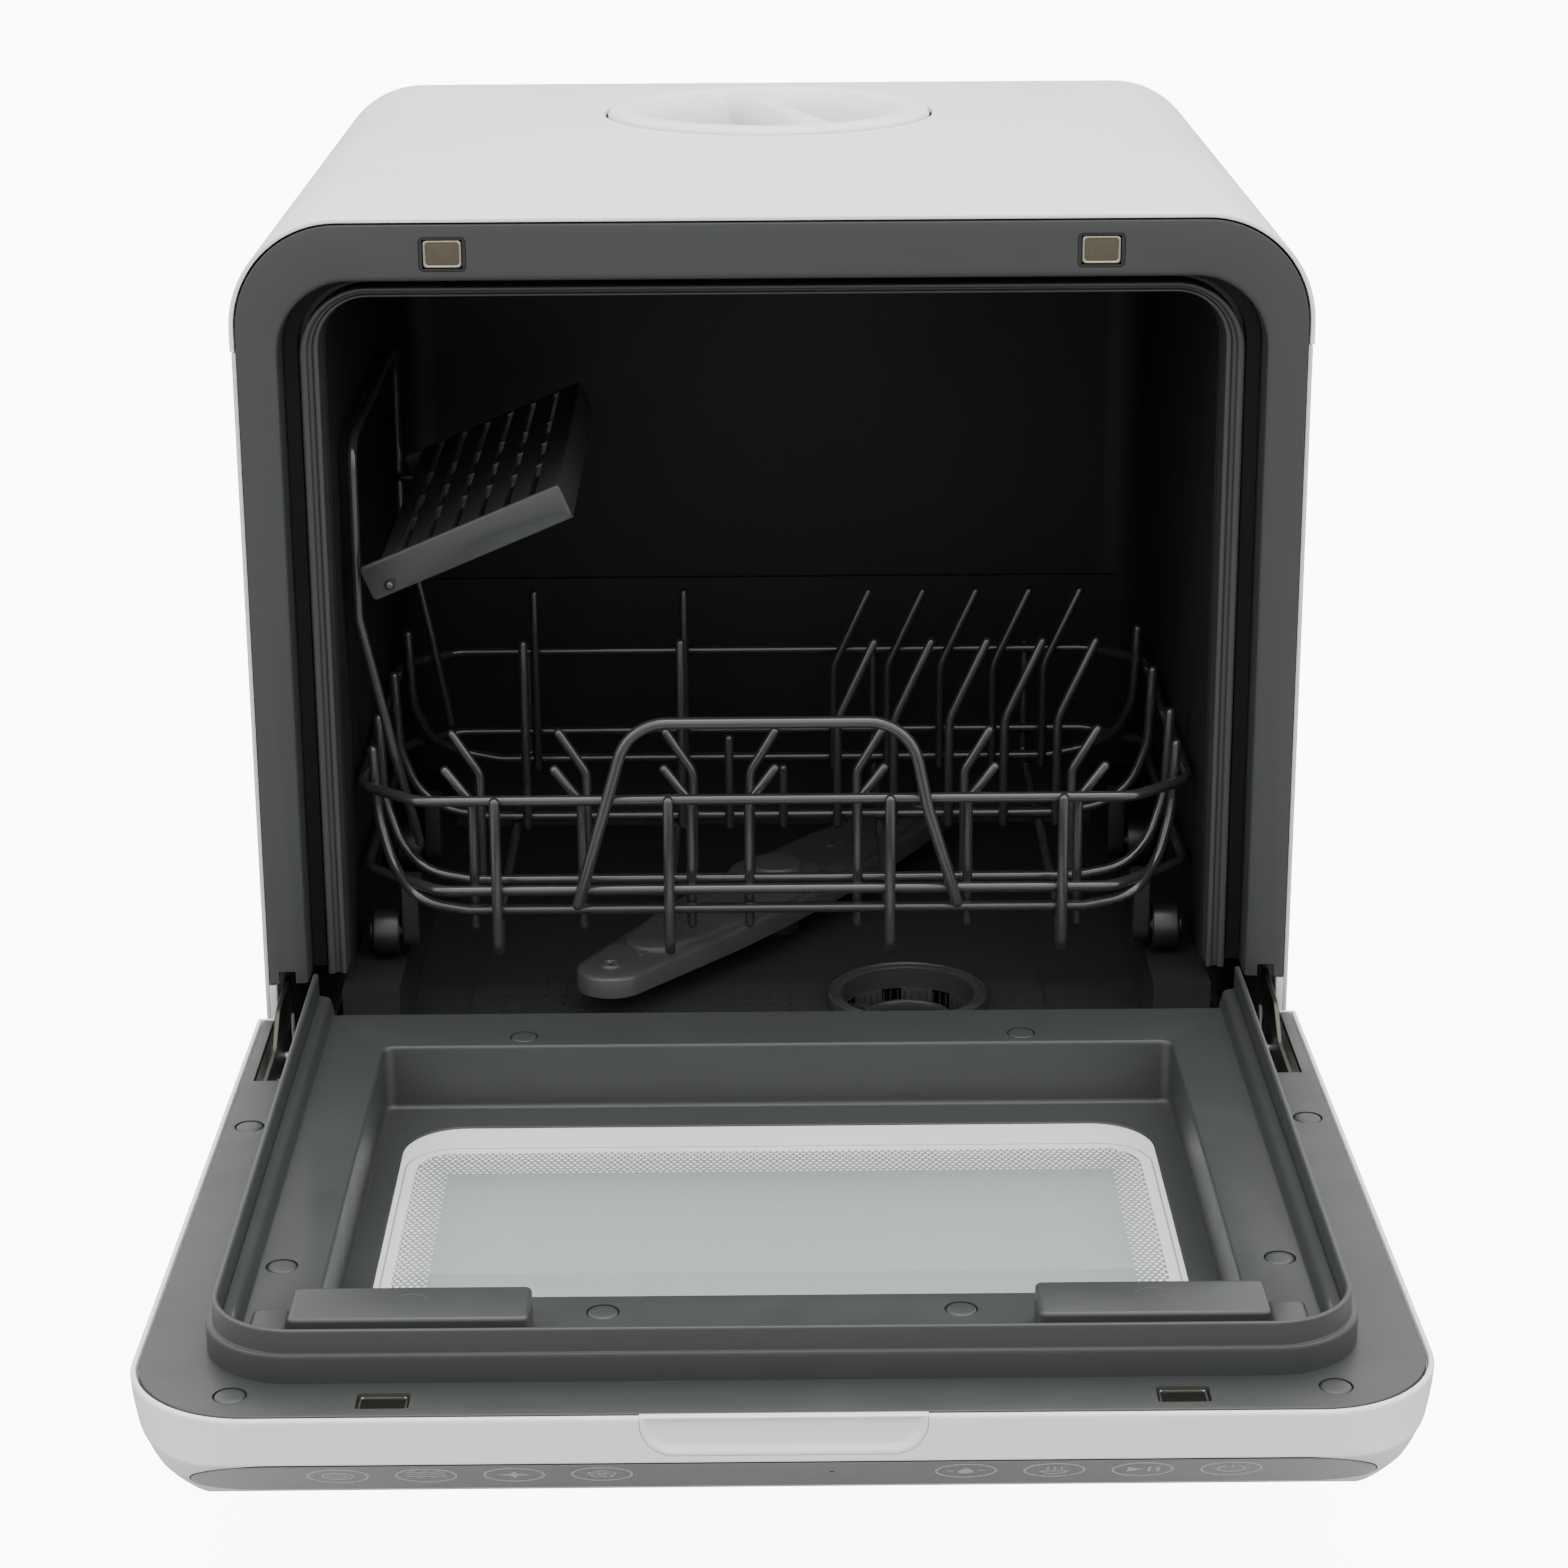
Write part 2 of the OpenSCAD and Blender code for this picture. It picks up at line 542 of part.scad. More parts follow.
module door_handle() color(white) put() difference() {
  union() {
    ex_y(-door_reach, -door_reach + 2.4) intersection() { rr(-45.2, 45.2, -12.7, 20, 10.7); sq(-60, 60, -20, -0.3); }
  }
  ex_y(-door_reach - 1, -door_reach + 1.6) intersection() { rr(-42.6, 42.6, -10.2, 20, 8.6); sq(-60, 60, -20, -1.2); }
}

// ---- rack -------------------------------------------------------------

rf = 25;
rb = 245;
module rim(z, fx, fy) run([[-fx, rf, z], [fx, rf, z], [rack_hw, fy, z], [rack_hw, rb - 22, z], [rack_hw - 24, rb, z],
  [-rack_hw + 24, rb, z], [-rack_hw, rb - 22, z], [-rack_hw, fy, z], [-fx, rf, z]]);
module rack_rims() color(wire_c) put() { rim(79, 146, 47); rim(40, 139, 56); }

hoop_ys = [29.6, 66, 150, 237];
hx = rack_hw - wire_d + 0.1;
module hoop(y, yt, zt) run([[-hx, yt, zt], [-hx + 1.5, yt, 62], [-hx + 8, y + (yt - y) * 0.6, 44], [-148, y, 34], [-128, y, 30],
  [128, y, 30], [148, y, 34], [hx - 8, y + (yt - y) * 0.6, 44], [hx - 1.5, yt, 62], [hx, yt, zt]]);
module rack_hoops() color(wire_c) put() {
  hoop(hoop_ys[0], 55, 94);
  hoop(hoop_ys[1], 80, 100);
  hoop(hoop_ys[2], hoop_ys[2], 98);
  hoop(hoop_ys[3] - 3, hoop_ys[3] - 20, 98);
}
runner_xs = [-115, -44, 47, 118];
module rack_runners() color(wire_c) put() for (x = runner_xs)
  run([[x, rf - wire_d, 81], [x, rf - wire_d, 22], [x, rf - 1, 14.5], [x, rf + 4, 14.5], [x, rf + 8, 25.6], [x, rb + wire_d - 0.4, 25.6], [x, rb + wire_d - 0.4, 81]]);
stem_xs = [-125, -80, -35, -11, 34, 79.5, 125];
plate_xs = [28, 53, 77.5, 102, 125.5];
module rack_tines() color(wire_c) put() {
  // front rows, leaning outwards at the top
  for (i = [0:6]) {
    x = stem_xs[i];
    s = i < 3 ? -1 : 1;
    bent([[x, hoop_ys[0] + wire_d - 0.3, 21], [x, hoop_ys[0] + wire_d - 0.3, 74], [x + s * 12, hoop_ys[0] + wire_d - 0.3, 90.5]], 4);
    bent([[x + 0.5, hoop_ys[1] + wire_d - 0.3, 26], [x + 0.5, hoop_ys[1] + wire_d - 0.3, 75], [x + s * 12, hoop_ys[1] + wire_d - 0.3, 95]], 4);
  }
  // plate rows on the right
  for (x = plate_xs, y = [150, 234]) bent([[x, y - wire_d + 0.3, 26], [x, y - wire_d + 0.3, 76], [x + 17, y - wire_d + 0.3, 112]], 4);
  // upright rows on the left
  for (x = [-110, -41], y = [150, 234]) run([[x, y - wire_d + 0.3, 27], [x, y - wire_d + 0.3, 112]], 4);
  run([[-20, 150 - wire_d + 0.3, 27], [-20, 150 - wire_d + 0.3, 68]], 4);
  run([[4, 150 - wire_d + 0.3, 27], [4, 150 - wire_d + 0.3, 54]], 4);
}
module rack_handle() color(wire_c) put()
  bent([[-82, rf - 4.6, 34], [-70, rf - 4.6, 80], [-63.5, rf - 4.6, 98.5], [-56.5, rf - 4.6, 108], [-45.5, rf - 4.6, 113], [36.5, rf - 4.6, 113],
    [52, rf - 4.6, 105.5], [60, rf - 4.6, 85], [75, rf - 4.6, 34]], 5);

lx = -170.3;
module shelf_bracket() color(wire_c) put() {
  run([[-150, 66, 46], [-158, 53, 90], [lx, 50, 150], [lx, 50, 216], [lx, 58, 225], [lx, 227, 225], [lx, 235, 216], [lx, 235, 150], [-158, 233, 90], [-150, 233, 46]], 4.2);
  for (y = [56, 229]) run([[lx, y, 166.5], [shelf_px - 1, y, 166.5]], 3.6, 0.3);
  for (y = [56, 229]) run([[lx, y, 166.5], [lx, y > 100 ? 235 : 50, 166.5]], 3.6, 0.3);
  cyl_y(shelf_px, 37, 243, shelf_pz, 2.2);
}
module wheel_carriers() color(grey) put() for (s = [-1, 1], y = wheel_ys) {
  cyl_x(s > 0 ? 150 : -170, s > 0 ? 170 : -150, y, axle_z, 3);
  cyl_x(s > 0 ? 169 : -170.6, s > 0 ? 170.6 : -169, y, axle_z, 4.6);
  blk(s > 0 ? 149 : -156.5, s > 0 ? 156.5 : -149, y - 7, y + 7, axle_z - 6, 39.5);
}
module wheel(s, y) color(dark) put() difference() {
  cyl_x(s > 0 ? 157.6 : -168.6, s > 0 ? 168.6 : -157.6, y, axle_z, wheel_r);
  cyl_x(s > 0 ? 150 : -175, s > 0 ? 175 : -150, y, axle_z, 3.06);
}
module wheel_front_left() wheel(-1, wheel_ys[0]);
module wheel_front_right() wheel(1, wheel_ys[0]);
module wheel_rear_left() wheel(-1, wheel_ys[1]);
module wheel_rear_right() wheel(1, wheel_ys[1]);

// tray of thin slats, drawn in its own tilted plane about the pivot
module cup_shelf() color(grey) put() translate([shelf_px, 0, shelf_pz]) rotate([0, -22.8, 0]) difference() {
  union() {
    for (y = [40, 237.4]) blk(-8.8, 80, y, y + 2.6, -4, 11);
    blk(77.4, 80, 40, 240, -4, 11);
    for (i = [0:6]) blk(1 + i * 11.4, 9.4 + i * 11.4, 41, 239, 8.6, 11);
    for (y = [98, 138, 180]) blk(1, 79, y, y + 2.4, 6, 10.5);
  }
  cyl_y(0, 30, 250, 0, 2.26);
}

// ---- washing parts that turn --------------------------------------------

// one half of the arm, pointing along a and reaching 140 from the hub
module blade(a) rotate([0, 0, a]) {
  ex_z(-12, -3) union() { polygon([[0, -24], [60, -23], [125, -15], [125, 15], [60, 23], [0, 24]]); translate([125, 0]) circle(15); }
  ex_z(-4, 0) union() { polygon([[0, -22], [60, -20], [92, -14], [92, 14], [60, 20], [0, 22]]); translate([92, 0]) circle(14); }
}
arm_turn = -123.8;
module spray_arm() color(grey) put() translate([0, hub_y, 0]) difference() {
  union() {
    blade(arm_turn);
    blade(arm_turn + 180);
    cyl_z(0, 0, -12.5, 2.5, 21);
    cyl_z(0, 0, 2.4, 6.5, 12);
  }
  cyl_z(0, 0, -14, 4.2, 8);
  for (a = [0, 180]) rotate([0, 0, arm_turn + a]) {
    cyl_z(126, 0, -5, 1, 3.4);
    blk(46, 58, -1.2, 1.2, -2, 3);
    blk(70, 82, -1.2, 1.2, -2, 3);
  }
}
module filter_cup() color(grey) put() translate([cup_x, cup_y, 0]) difference() {
  union() {
    cyl_z(0, 0, -23.2, -18, 34);
    cyl_z(0, 0, -74, -20, 30);
  }
  cyl_z(0, 0, -22, -17, 31.4);
  cyl_z(0, 0, -72.5, -17, 28.4);
  for (i = [0:7]) rotate([0, 0, i * 45 + 12]) blk(20, 40, -6, 6, -44, -29);
  for (i = [0:7]) rotate([0, 0, i * 45 + 12]) blk(20, 40, -6, 6, -66, -50);
}

// ---- filler cap ---------------------------------------------------------

module cap_seal() color(dark) put() difference() {
  cyl_z(0, cap_y, 318.2, 320.4, 70);
  cyl_z(0, cap_y, 317, 322, 63.8);
}
cap_r = cap_d / 2;
module fill_cap() color(white) put() translate([0, cap_y, 0]) {
  rotate_extrude($fn = 96) polygon([[0, 305.2], [22, 306.2], [38, 309.3], [50, 314.3], [57, 318.8], [60.6, 319.6], [60.6, 306], [62.8, 306],
    [62.8, 320.4], [cap_r, 320.4], [cap_r, 323.4], [cap_r - 2.2, 325], [cap_r - 5, 325.5], [cap_r - 9, 325.2], [60, 322.6], [50, 316.5],
    [38, 311.5], [22, 308.4], [0, 307.4]]);
  // grip across the bowl
  intersection() {
    cyl_z(0, 0, 306, 325.2, 62);
    translate([7, 0, 0]) rotate([0, 0, 16]) ex_y(-70, 70) polygon([[-11, 306], [11, 306], [6.5, 323.5], [4.5, 325], [-4.5, 325], [-6.5, 323.5]]);
  }
}

base_pan();
plinth();
feet();
top_cover();
side_panel_left();
side_panel_right();
back_panel();
port_recess();
front_frame();
frame_gasket();
door_magnets();
magnet_holders();
tub();
ceiling_nozzle();
filter_plate();
sump();
spray_post();
water_tank();
pump_volute();
pump_motor();
drain_pump();
water_heater();
fill_hose();
drain_hose();
inlet_valve();
drain_spigot();
power_gland();
power_board();
hinge_brackets();
hinge_pins();
door_springs();
door_outer();
door_inner();
outer_window();
inner_window();
window_gasket();
control_panel();
touch_board();
door_handle();
door_strikes();
door_screws();
screw_caps();
hinge_arms();
rack_rims();
rack_hoops();
rack_runners();
rack_tines();
rack_handle();
shelf_bracket();
wheel_carriers();
wheel_front_left();
wheel_front_right();
wheel_rear_left();
wheel_rear_right();
cup_shelf();
spray_arm();
filter_cup();
pump_impeller();
fill_cap();
cap_seal();
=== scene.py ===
import bpy
import bmesh
import math
import random
from math import cos, sin, pi, radians, sqrt, atan2, exp, log
from mathutils import Vector, Matrix


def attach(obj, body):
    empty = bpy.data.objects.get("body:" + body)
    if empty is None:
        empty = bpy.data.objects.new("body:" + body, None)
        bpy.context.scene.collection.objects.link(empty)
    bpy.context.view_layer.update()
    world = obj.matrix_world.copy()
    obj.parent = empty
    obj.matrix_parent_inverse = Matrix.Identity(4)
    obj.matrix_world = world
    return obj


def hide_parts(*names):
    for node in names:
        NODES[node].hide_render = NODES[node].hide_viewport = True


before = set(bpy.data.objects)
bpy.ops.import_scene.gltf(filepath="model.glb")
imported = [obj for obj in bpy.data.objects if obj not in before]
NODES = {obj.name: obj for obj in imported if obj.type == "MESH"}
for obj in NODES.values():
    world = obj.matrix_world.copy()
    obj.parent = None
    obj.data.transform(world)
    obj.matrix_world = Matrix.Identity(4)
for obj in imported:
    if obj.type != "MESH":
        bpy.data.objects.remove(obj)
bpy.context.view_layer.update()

rng = random.Random(7)

# Lengths below are millimetres about the body's front plane (y = 0) and the open
# door's upper face (z = 0), as in the CAD; P() turns them into the shared frame.
YS = (356.5 - 392) / 2
ZS = 112.6


def P(v):
    return Vector((v[0] * 0.001, (v[1] + YS) * 0.001, (v[2] + ZS) * 0.001))


# ---------------------------------------------------------------- materials


def lin(r, g, b):
    def f(c):
        c /= 255.0
        return c / 12.92 if c <= 0.04045 else ((c + 0.055) / 1.055) ** 2.4
    return (f(r), f(g), f(b), 1.0)


def plastic(name, col, rough=0.35, grain=900.0, grain_depth=0.02, vary=0.04, rough_vary=0.08, spec=0.5,
            coat=0.0, metallic=0.0, wear=None, smear=0.0, bump_mid=0.0, painted_light_by_height=None):
    """Moulded surface: fine grain, faint large clouding of colour and gloss, optional painted light and shade that
    blends the colour by height, optional lighter worn edges.
    """
    m = bpy.data.materials.new(name)
    m.use_nodes = True
    nt = m.node_tree
    N, L = nt.nodes, nt.links
    b = N["Principled BSDF"]
    b.inputs["Specular IOR Level"].default_value = spec
    b.inputs["Metallic"].default_value = metallic
    if coat:
        b.inputs["Coat Weight"].default_value = coat
        b.inputs["Coat Roughness"].default_value = 0.08
    tc = N.new("ShaderNodeTexCoord")
    big = N.new("ShaderNodeTexNoise")
    big.inputs["Scale"].default_value = 9.0
    big.inputs["Detail"].default_value = 4.0
    L.new(tc.outputs["Object"], big.inputs["Vector"])
    fine = N.new("ShaderNodeTexNoise")
    fine.inputs["Scale"].default_value = grain
    fine.inputs["Detail"].default_value = 2.0
    L.new(tc.outputs["Object"], fine.inputs["Vector"])
    ramp = N.new("ShaderNodeValToRGB")
    ramp.color_ramp.elements[0].position = 0.3
    ramp.color_ramp.elements[1].position = 0.72
    lo = [max(0.0, c * (1 - vary)) for c in col[:3]] + [1]
    hi = [min(1.0, c * (1 + vary)) for c in col[:3]] + [1]
    ramp.color_ramp.elements[0].color = lo
    ramp.color_ramp.elements[1].color = hi
    L.new(big.outputs["Fac"], ramp.inputs["Fac"])
    out_col = ramp.outputs["Color"]
    if painted_light_by_height is not None:
        # painted light and shade by height: the colour blends to a set colour lower down, painted shade in the cap's
        # bowl and painted light on the tub's floor
        sp = N.new("ShaderNodeSeparateXYZ")
        L.new(tc.outputs["Object"], sp.inputs[0])
        dr = N.new("ShaderNodeMapRange")
        dr.interpolation_type = "SMOOTHSTEP"
        dr.inputs["From Min"].default_value = painted_light_by_height[0]
        dr.inputs["From Max"].default_value = painted_light_by_height[1]
        L.new(sp.outputs["Z"], dr.inputs["Value"])
        dm = N.new("ShaderNodeMix")
        dm.data_type = "RGBA"
        L.new(dr.outputs["Result"], dm.inputs["Factor"])
        dm.inputs["A"].default_value = painted_light_by_height[2]
        L.new(out_col, dm.inputs["B"])
        out_col = dm.outputs["Result"]
    if wear is not None:
        geo = N.new("ShaderNodeNewGeometry")
        wr = N.new("ShaderNodeValToRGB")
        wr.color_ramp.elements[0].position = 0.53
        wr.color_ramp.elements[0].color = (0, 0, 0, 1)
        wr.color_ramp.elements[1].position = 0.62
        wr.color_ramp.elements[1].color = (1, 1, 1, 1)
        L.new(geo.outputs["Pointiness"], wr.inputs["Fac"])
        mix = N.new("ShaderNodeMix")
        mix.data_type = "RGBA"
        L.new(wr.outputs["Color"], mix.inputs["Factor"])
        L.new(out_col, mix.inputs["A"])
        mix.inputs["B"].default_value = wear
        out_col = mix.outputs["Result"]
    L.new(out_col, b.inputs["Base Color"])
    rr = N.new("ShaderNodeMapRange")
    rr.inputs["From Min"].default_value = 0.3
    rr.inputs["From Max"].default_value = 0.7
    rr.inputs["To Min"].default_value = max(0.02, rough - rough_vary)
    rr.inputs["To Max"].default_value = min(1.0, rough + rough_vary)
    if smear:
        st = N.new("ShaderNodeTexNoise")
        st.inputs["Scale"].default_value = 26.0
        st.inputs["Detail"].default_value = 6.0
        st.inputs["Distortion"].default_value = 1.2
        L.new(tc.outputs["Object"], st.inputs["Vector"])
        L.new(st.outputs["Fac"], rr.inputs["Value"])
    else:
        L.new(big.outputs["Fac"], rr.inputs["Value"])
    L.new(rr.outputs["Result"], b.inputs["Roughness"])
    bump = N.new("ShaderNodeBump")
    bump.inputs["Strength"].default_value = 0.35
    bump.inputs["Distance"].default_value = grain_depth * 0.001
    L.new(fine.outputs["Fac"], bump.inputs["Height"])
    if bump_mid:
        mid = N.new("ShaderNodeTexNoise")
        mid.inputs["Scale"].default_value = 55.0
        mid.inputs["Detail"].default_value = 3.0
        L.new(tc.outputs["Object"], mid.inputs["Vector"])
        b2 = N.new("ShaderNodeBump")
        b2.inputs["Strength"].default_value = 0.5
        b2.inputs["Distance"].default_value = bump_mid * 0.001
        L.new(mid.outputs["Fac"], b2.inputs["Height"])
        L.new(b2.outputs["Normal"], bump.inputs["Normal"])
    L.new(bump.outputs["Normal"], b.inputs["Normal"])
    return m


def brushed(name, col, rough=0.3, stretch=(1, 1, 60), vary=0.15, wear=None):
    m = bpy.data.materials.new(name)
    m.use_nodes = True
    nt = m.node_tree
    N, L = nt.nodes, nt.links
    b = N["Principled BSDF"]
    b.inputs["Metallic"].default_value = 1.0
    tc = N.new("ShaderNodeTexCoord")
    mp = N.new("ShaderNodeMapping")
    mp.inputs["Scale"].default_value = stretch
    L.new(tc.outputs["Object"], mp.inputs["Vector"])
    n = N.new("ShaderNodeTexNoise")
    n.inputs["Scale"].default_value = 220.0
    n.inputs["Detail"].default_value = 5.0
    L.new(mp.outputs["Vector"], n.inputs["Vector"])
    ramp = N.new("ShaderNodeValToRGB")
    ramp.color_ramp.elements[0].position = 0.25
    ramp.color_ramp.elements[1].position = 0.75
    ramp.color_ramp.elements[0].color = [c * (1 - vary) for c in col[:3]] + [1]
    ramp.color_ramp.elements[1].color = [min(1, c * (1 + vary)) for c in col[:3]] + [1]
    L.new(n.outputs["Fac"], ramp.inputs["Fac"])
    L.new(ramp.outputs["Color"], b.inputs["Base Color"])
    rr = N.new("ShaderNodeMapRange")
    rr.inputs["To Min"].default_value = max(0.05, rough - 0.1)
    rr.inputs["To Max"].default_value = rough + 0.12
    L.new(n.outputs["Fac"], rr.inputs["Value"])
    L.new(rr.outputs["Result"], b.inputs["Roughness"])
    bump = N.new("ShaderNodeBump")
    bump.inputs["Strength"].default_value = 0.25
    bump.inputs["Distance"].default_value = 0.00003
    L.new(n.outputs["Fac"], bump.inputs["Height"])
    L.new(bump.outputs["Normal"], b.inputs["Normal"])
    return m


def glass(name, tint, rough=0.02, alpha=0.35):
    m = bpy.data.materials.new(name)
    m.use_nodes = True
    nt = m.node_tree
    N, L = nt.nodes, nt.links
    b = N["Principled BSDF"]
    b.inputs["Base Color"].default_value = tint
    b.inputs["Alpha"].default_value = alpha
    b.inputs["IOR"].default_value = 1.5
    b.inputs["Specular IOR Level"].default_value = 0.5
    tc = N.new("ShaderNodeTexCoord")
    n = N.new("ShaderNodeTexNoise")
    n.inputs["Scale"].default_value = 14.0
    n.inputs["Detail"].default_value = 5.0
    L.new(tc.outputs["Object"], n.inputs["Vector"])
    rr = N.new("ShaderNodeMapRange")
    rr.inputs["From Min"].default_value = 0.35
    rr.inputs["From Max"].default_value = 0.75
    rr.inputs["To Min"].default_value = rough
    rr.inputs["To Max"].default_value = rough + 0.1
    L.new(n.outputs["Fac"], rr.inputs["Value"])
    L.new(rr.outputs["Result"], b.inputs["Roughness"])
    return m


WHITE = plastic("white_casing", lin(232, 232, 229), rough=0.33, grain=1500, grain_depth=0.012, vary=0.012, rough_vary=0.05, bump_mid=0.02)
GREY = plastic("grey_panel", lin(54, 57, 56), rough=0.41, grain=1300, grain_depth=0.02, vary=0.04, rough_vary=0.05, smear=1.0,
               bump_mid=0.05)
# the tub's colour turns lighter towards its floor: painted light
TUB = plastic("tub_plastic", lin(32, 32, 34), rough=0.5, grain=1100, grain_depth=0.02, vary=0.06, rough_vary=0.05, spec=0.22,
              bump_mid=0.05, painted_light_by_height=(0.0885, 0.118, lin(52, 53, 54)))
GREYM = plastic("grey_moulding", lin(61, 64, 62), rough=0.34, grain=1200, grain_depth=0.02, vary=0.05, bump_mid=0.04)
WHEEL = plastic("wheel_plastic", lin(25, 26, 26), rough=0.4, grain=1300, grain_depth=0.02, vary=0.06)
CLIP = plastic("clip_plastic", lin(34, 36, 35), rough=0.38, grain=1300, grain_depth=0.02, vary=0.06)
WIRE = plastic("coated_wire", lin(46, 49, 46), rough=0.26, grain=700, grain_depth=0.03, vary=0.05, bump_mid=0.08, coat=0.8)
RUBBER = plastic("black_rubber", lin(22, 22, 23), rough=0.62, grain=900, grain_depth=0.04, vary=0.12, spec=0.35)
BLACK = plastic("black_plastic", lin(26, 26, 27), rough=0.45, grain=1100, grain_depth=0.03, vary=0.1, bump_mid=0.04)
MOTOR = plastic("motor_shell", lin(70, 71, 73), rough=0.4, grain=1000, grain_depth=0.02, vary=0.06, metallic=0.3)
IMPEL = plastic("impeller_plastic", lin(222, 220, 210), rough=0.42, grain=900, grain_depth=0.02, vary=0.03)
NICKEL = brushed("nickel_plate", lin(168, 164, 150), rough=0.3, stretch=(30, 1, 1))
# a darker copy of the nickel for the magnet faces: painted dark reflection
NFACE_DARK_REFLECTION = brushed("nickel_face_painted_reflection", lin(104, 98, 84), rough=0.36, stretch=(30, 1, 1))
# a darker copy of the nickel for the strike plate faces: painted dark reflection
NICKEL_DARK_REFLECTION = plastic("strike_face_painted_reflection", lin(72, 73, 66), rough=0.24, grain=900, grain_depth=0.01, vary=0.05, metallic=0.9)
# a darker copy of the white casing for the side panels: painted shade
SIDEW_PAINTED_SHADE = plastic("side_casing_painted_shade", lin(208, 208, 205), rough=0.36, grain=1500, grain_depth=0.012, vary=0.012, rough_vary=0.05, bump_mid=0.02)
# a lighter copy of the white casing for the top cover: painted light on the top
COVERW_PAINTED_LIGHT = plastic("cover_casing_painted_light", lin(241, 241, 238), rough=0.33, grain=1500, grain_depth=0.012, vary=0.012, rough_vary=0.05, bump_mid=0.02)
# a lighter copy of the white casing for the filler cap: painted light; its colour also darkens towards the bottom of
# the bowl: painted shade
CAPW_PAINTED_LIGHT_SHADE = plastic("cap_casing_painted_light_shade", lin(246, 246, 243), rough=0.33, grain=1500, grain_depth=0.012, vary=0.012, rough_vary=0.05, bump_mid=0.02,
               painted_light_by_height=(0.4225, 0.4372, lin(188, 188, 185)))
ARM = plastic("arm_moulding", lin(74, 77, 75), rough=0.36, grain=1200, grain_depth=0.02, vary=0.05, bump_mid=0.04)
BSTEEL = plastic("black_steel", lin(22, 22, 22), rough=0.42, grain=600, grain_depth=0.03, vary=0.2, metallic=0.2)
EDGE = brushed("cut_edge", lin(76, 74, 66), rough=0.36, stretch=(20, 1, 1))
LINE = plastic("print_line", lin(150, 153, 151), rough=0.4, grain=1300, grain_depth=0.01, vary=0.02)
STEEL = brushed("bare_steel", lin(196, 196, 192), rough=0.32, stretch=(1, 1, 40))
GLASS = glass("window_glass", lin(196, 206, 201), rough=0.02, alpha=0.3)
STRIP = plastic("gloss_strip", lin(120, 120, 121), rough=0.16, grain=1600, grain_depth=0.006, vary=0.02, rough_vary=0.03, coat=0.6)
BOARD = plastic("circuit_board", lin(36, 92, 58), rough=0.4, grain=700, grain_depth=0.03, vary=0.1)
TANK = plastic("tank_plastic", lin(206, 214, 216), rough=0.4, grain=700, grain_depth=0.03, vary=0.03)
HOSE = plastic("hose_rubber", lin(58, 58, 60), rough=0.5, grain=800, grain_depth=0.04, vary=0.08)
PRINT = plastic("window_print", lin(226, 229, 226), rough=0.4, grain=1300, grain_depth=0.01, vary=0.015)
ICON = plastic("strip_print", lin(190, 193, 191), rough=0.3, grain=1300, grain_depth=0.004, vary=0.02)
DARK = plastic("dark_gap", lin(10, 10, 10), rough=0.6, grain=900, grain_depth=0.02, vary=0.1, spec=0.2)

# ---------------------------------------------------------------- mesh tools


class Mesh:
    def __init__(self):
        self.v, self.f, self.m = [], [], []

    def add(self, verts, faces, mat=0):
        o = len(self.v)
        self.v += [tuple(p) for p in verts]
        self.f += [tuple(i + o for i in f) for f in faces]
        self.m += [mat] * len(faces)

    def loft(self, loops, close_v=False, cap0=False, cap1=False, close_u=True, mat=0):
        n = len(loops[0])
        faces = []
        k = len(loops)
        for j in range(k if close_v else k - 1):
            a, b = j * n, ((j + 1) % k) * n
            for i in range(n if close_u else n - 1):
                i2 = (i + 1) % n
                faces.append((a + i, a + i2, b + i2, b + i))
        if cap0:
            faces.append(tuple(reversed(range(n))))
        if cap1:
            faces.append(tuple((k - 1) * n + i for i in range(n)))
        self.add([p for l in loops for p in l], faces, mat)

    def build(self, name, mats, body, nodes=(), slot=None, angle=38, normals=True):
        me = bpy.data.meshes.new(name)
        me.from_pydata([P(p) for p in self.v], [], self.f)
        for m in (mats if isinstance(mats, (list, tuple)) else [mats]):
            me.materials.append(m)
        for p, k in zip(me.polygons, self.m):
            p.material_index = k
        bm = bmesh.new()
        bm.from_mesh(me)
        bmesh.ops.remove_doubles(bm, verts=bm.verts, dist=1e-7)
        if normals:
            bmesh.ops.recalc_face_normals(bm, faces=bm.faces)
        bm.to_mesh(me)
        bm.free()
        o = bpy.data.objects.new(name, me)
        bpy.context.scene.collection.objects.link(o)
        shade(o, angle)
        if body:
            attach(o, body)
        if nodes:
            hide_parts(*nodes)
        return o


def shade(o, angle=38):
    me = o.data
    for p in me.polygons:
        p.use_smooth = True
    me.set_sharp_from_angle(angle=radians(angle))


def arc(cx, cy, r, a0, a1, n):
    return [(cx + r * cos(radians(a0 + (a1 - a0) * i / n)), cy + r * sin(radians(a0 + (a1 - a0) * i / n))) for i in range(n + 1)]


def rrect(x0, x1, y0, y1, rf, rr=None, n=10):
    """Closed plan outline: rf is the radius of the two corners at y0, rr at y1."""
    rr = rf if rr is None else rr
    return (arc(x1 - rf, y0 + rf, rf, -90, 0, n) + arc(x1 - rr, y1 - rr, rr, 0, 90, n)
            + arc(x0 + rr, y1 - rr, rr, 90, 180, n) + arc(x0 + rf, y0 + rf, rf, 180, 270, n))


def archline(w, zb, zt, r, n=14):
    """Open upright outline from the lower left over the top to the lower right."""
    return [(-w, zb)] + arc(-w + r, zt - r, r, 180, 90, n) + arc(w - r, zt - r, r, 90, 0, n) + [(w, zb)]


def leafline(w, y0, yb, r, n=14):
    """Open plan outline from the rear left round the front to the rear right."""
    return [(-w, yb)] + arc(-w + r, y0 + r, r, 180, 270, n) + arc(w - r, y0 + r, r, 270, 360, n) + [(w, yb)]


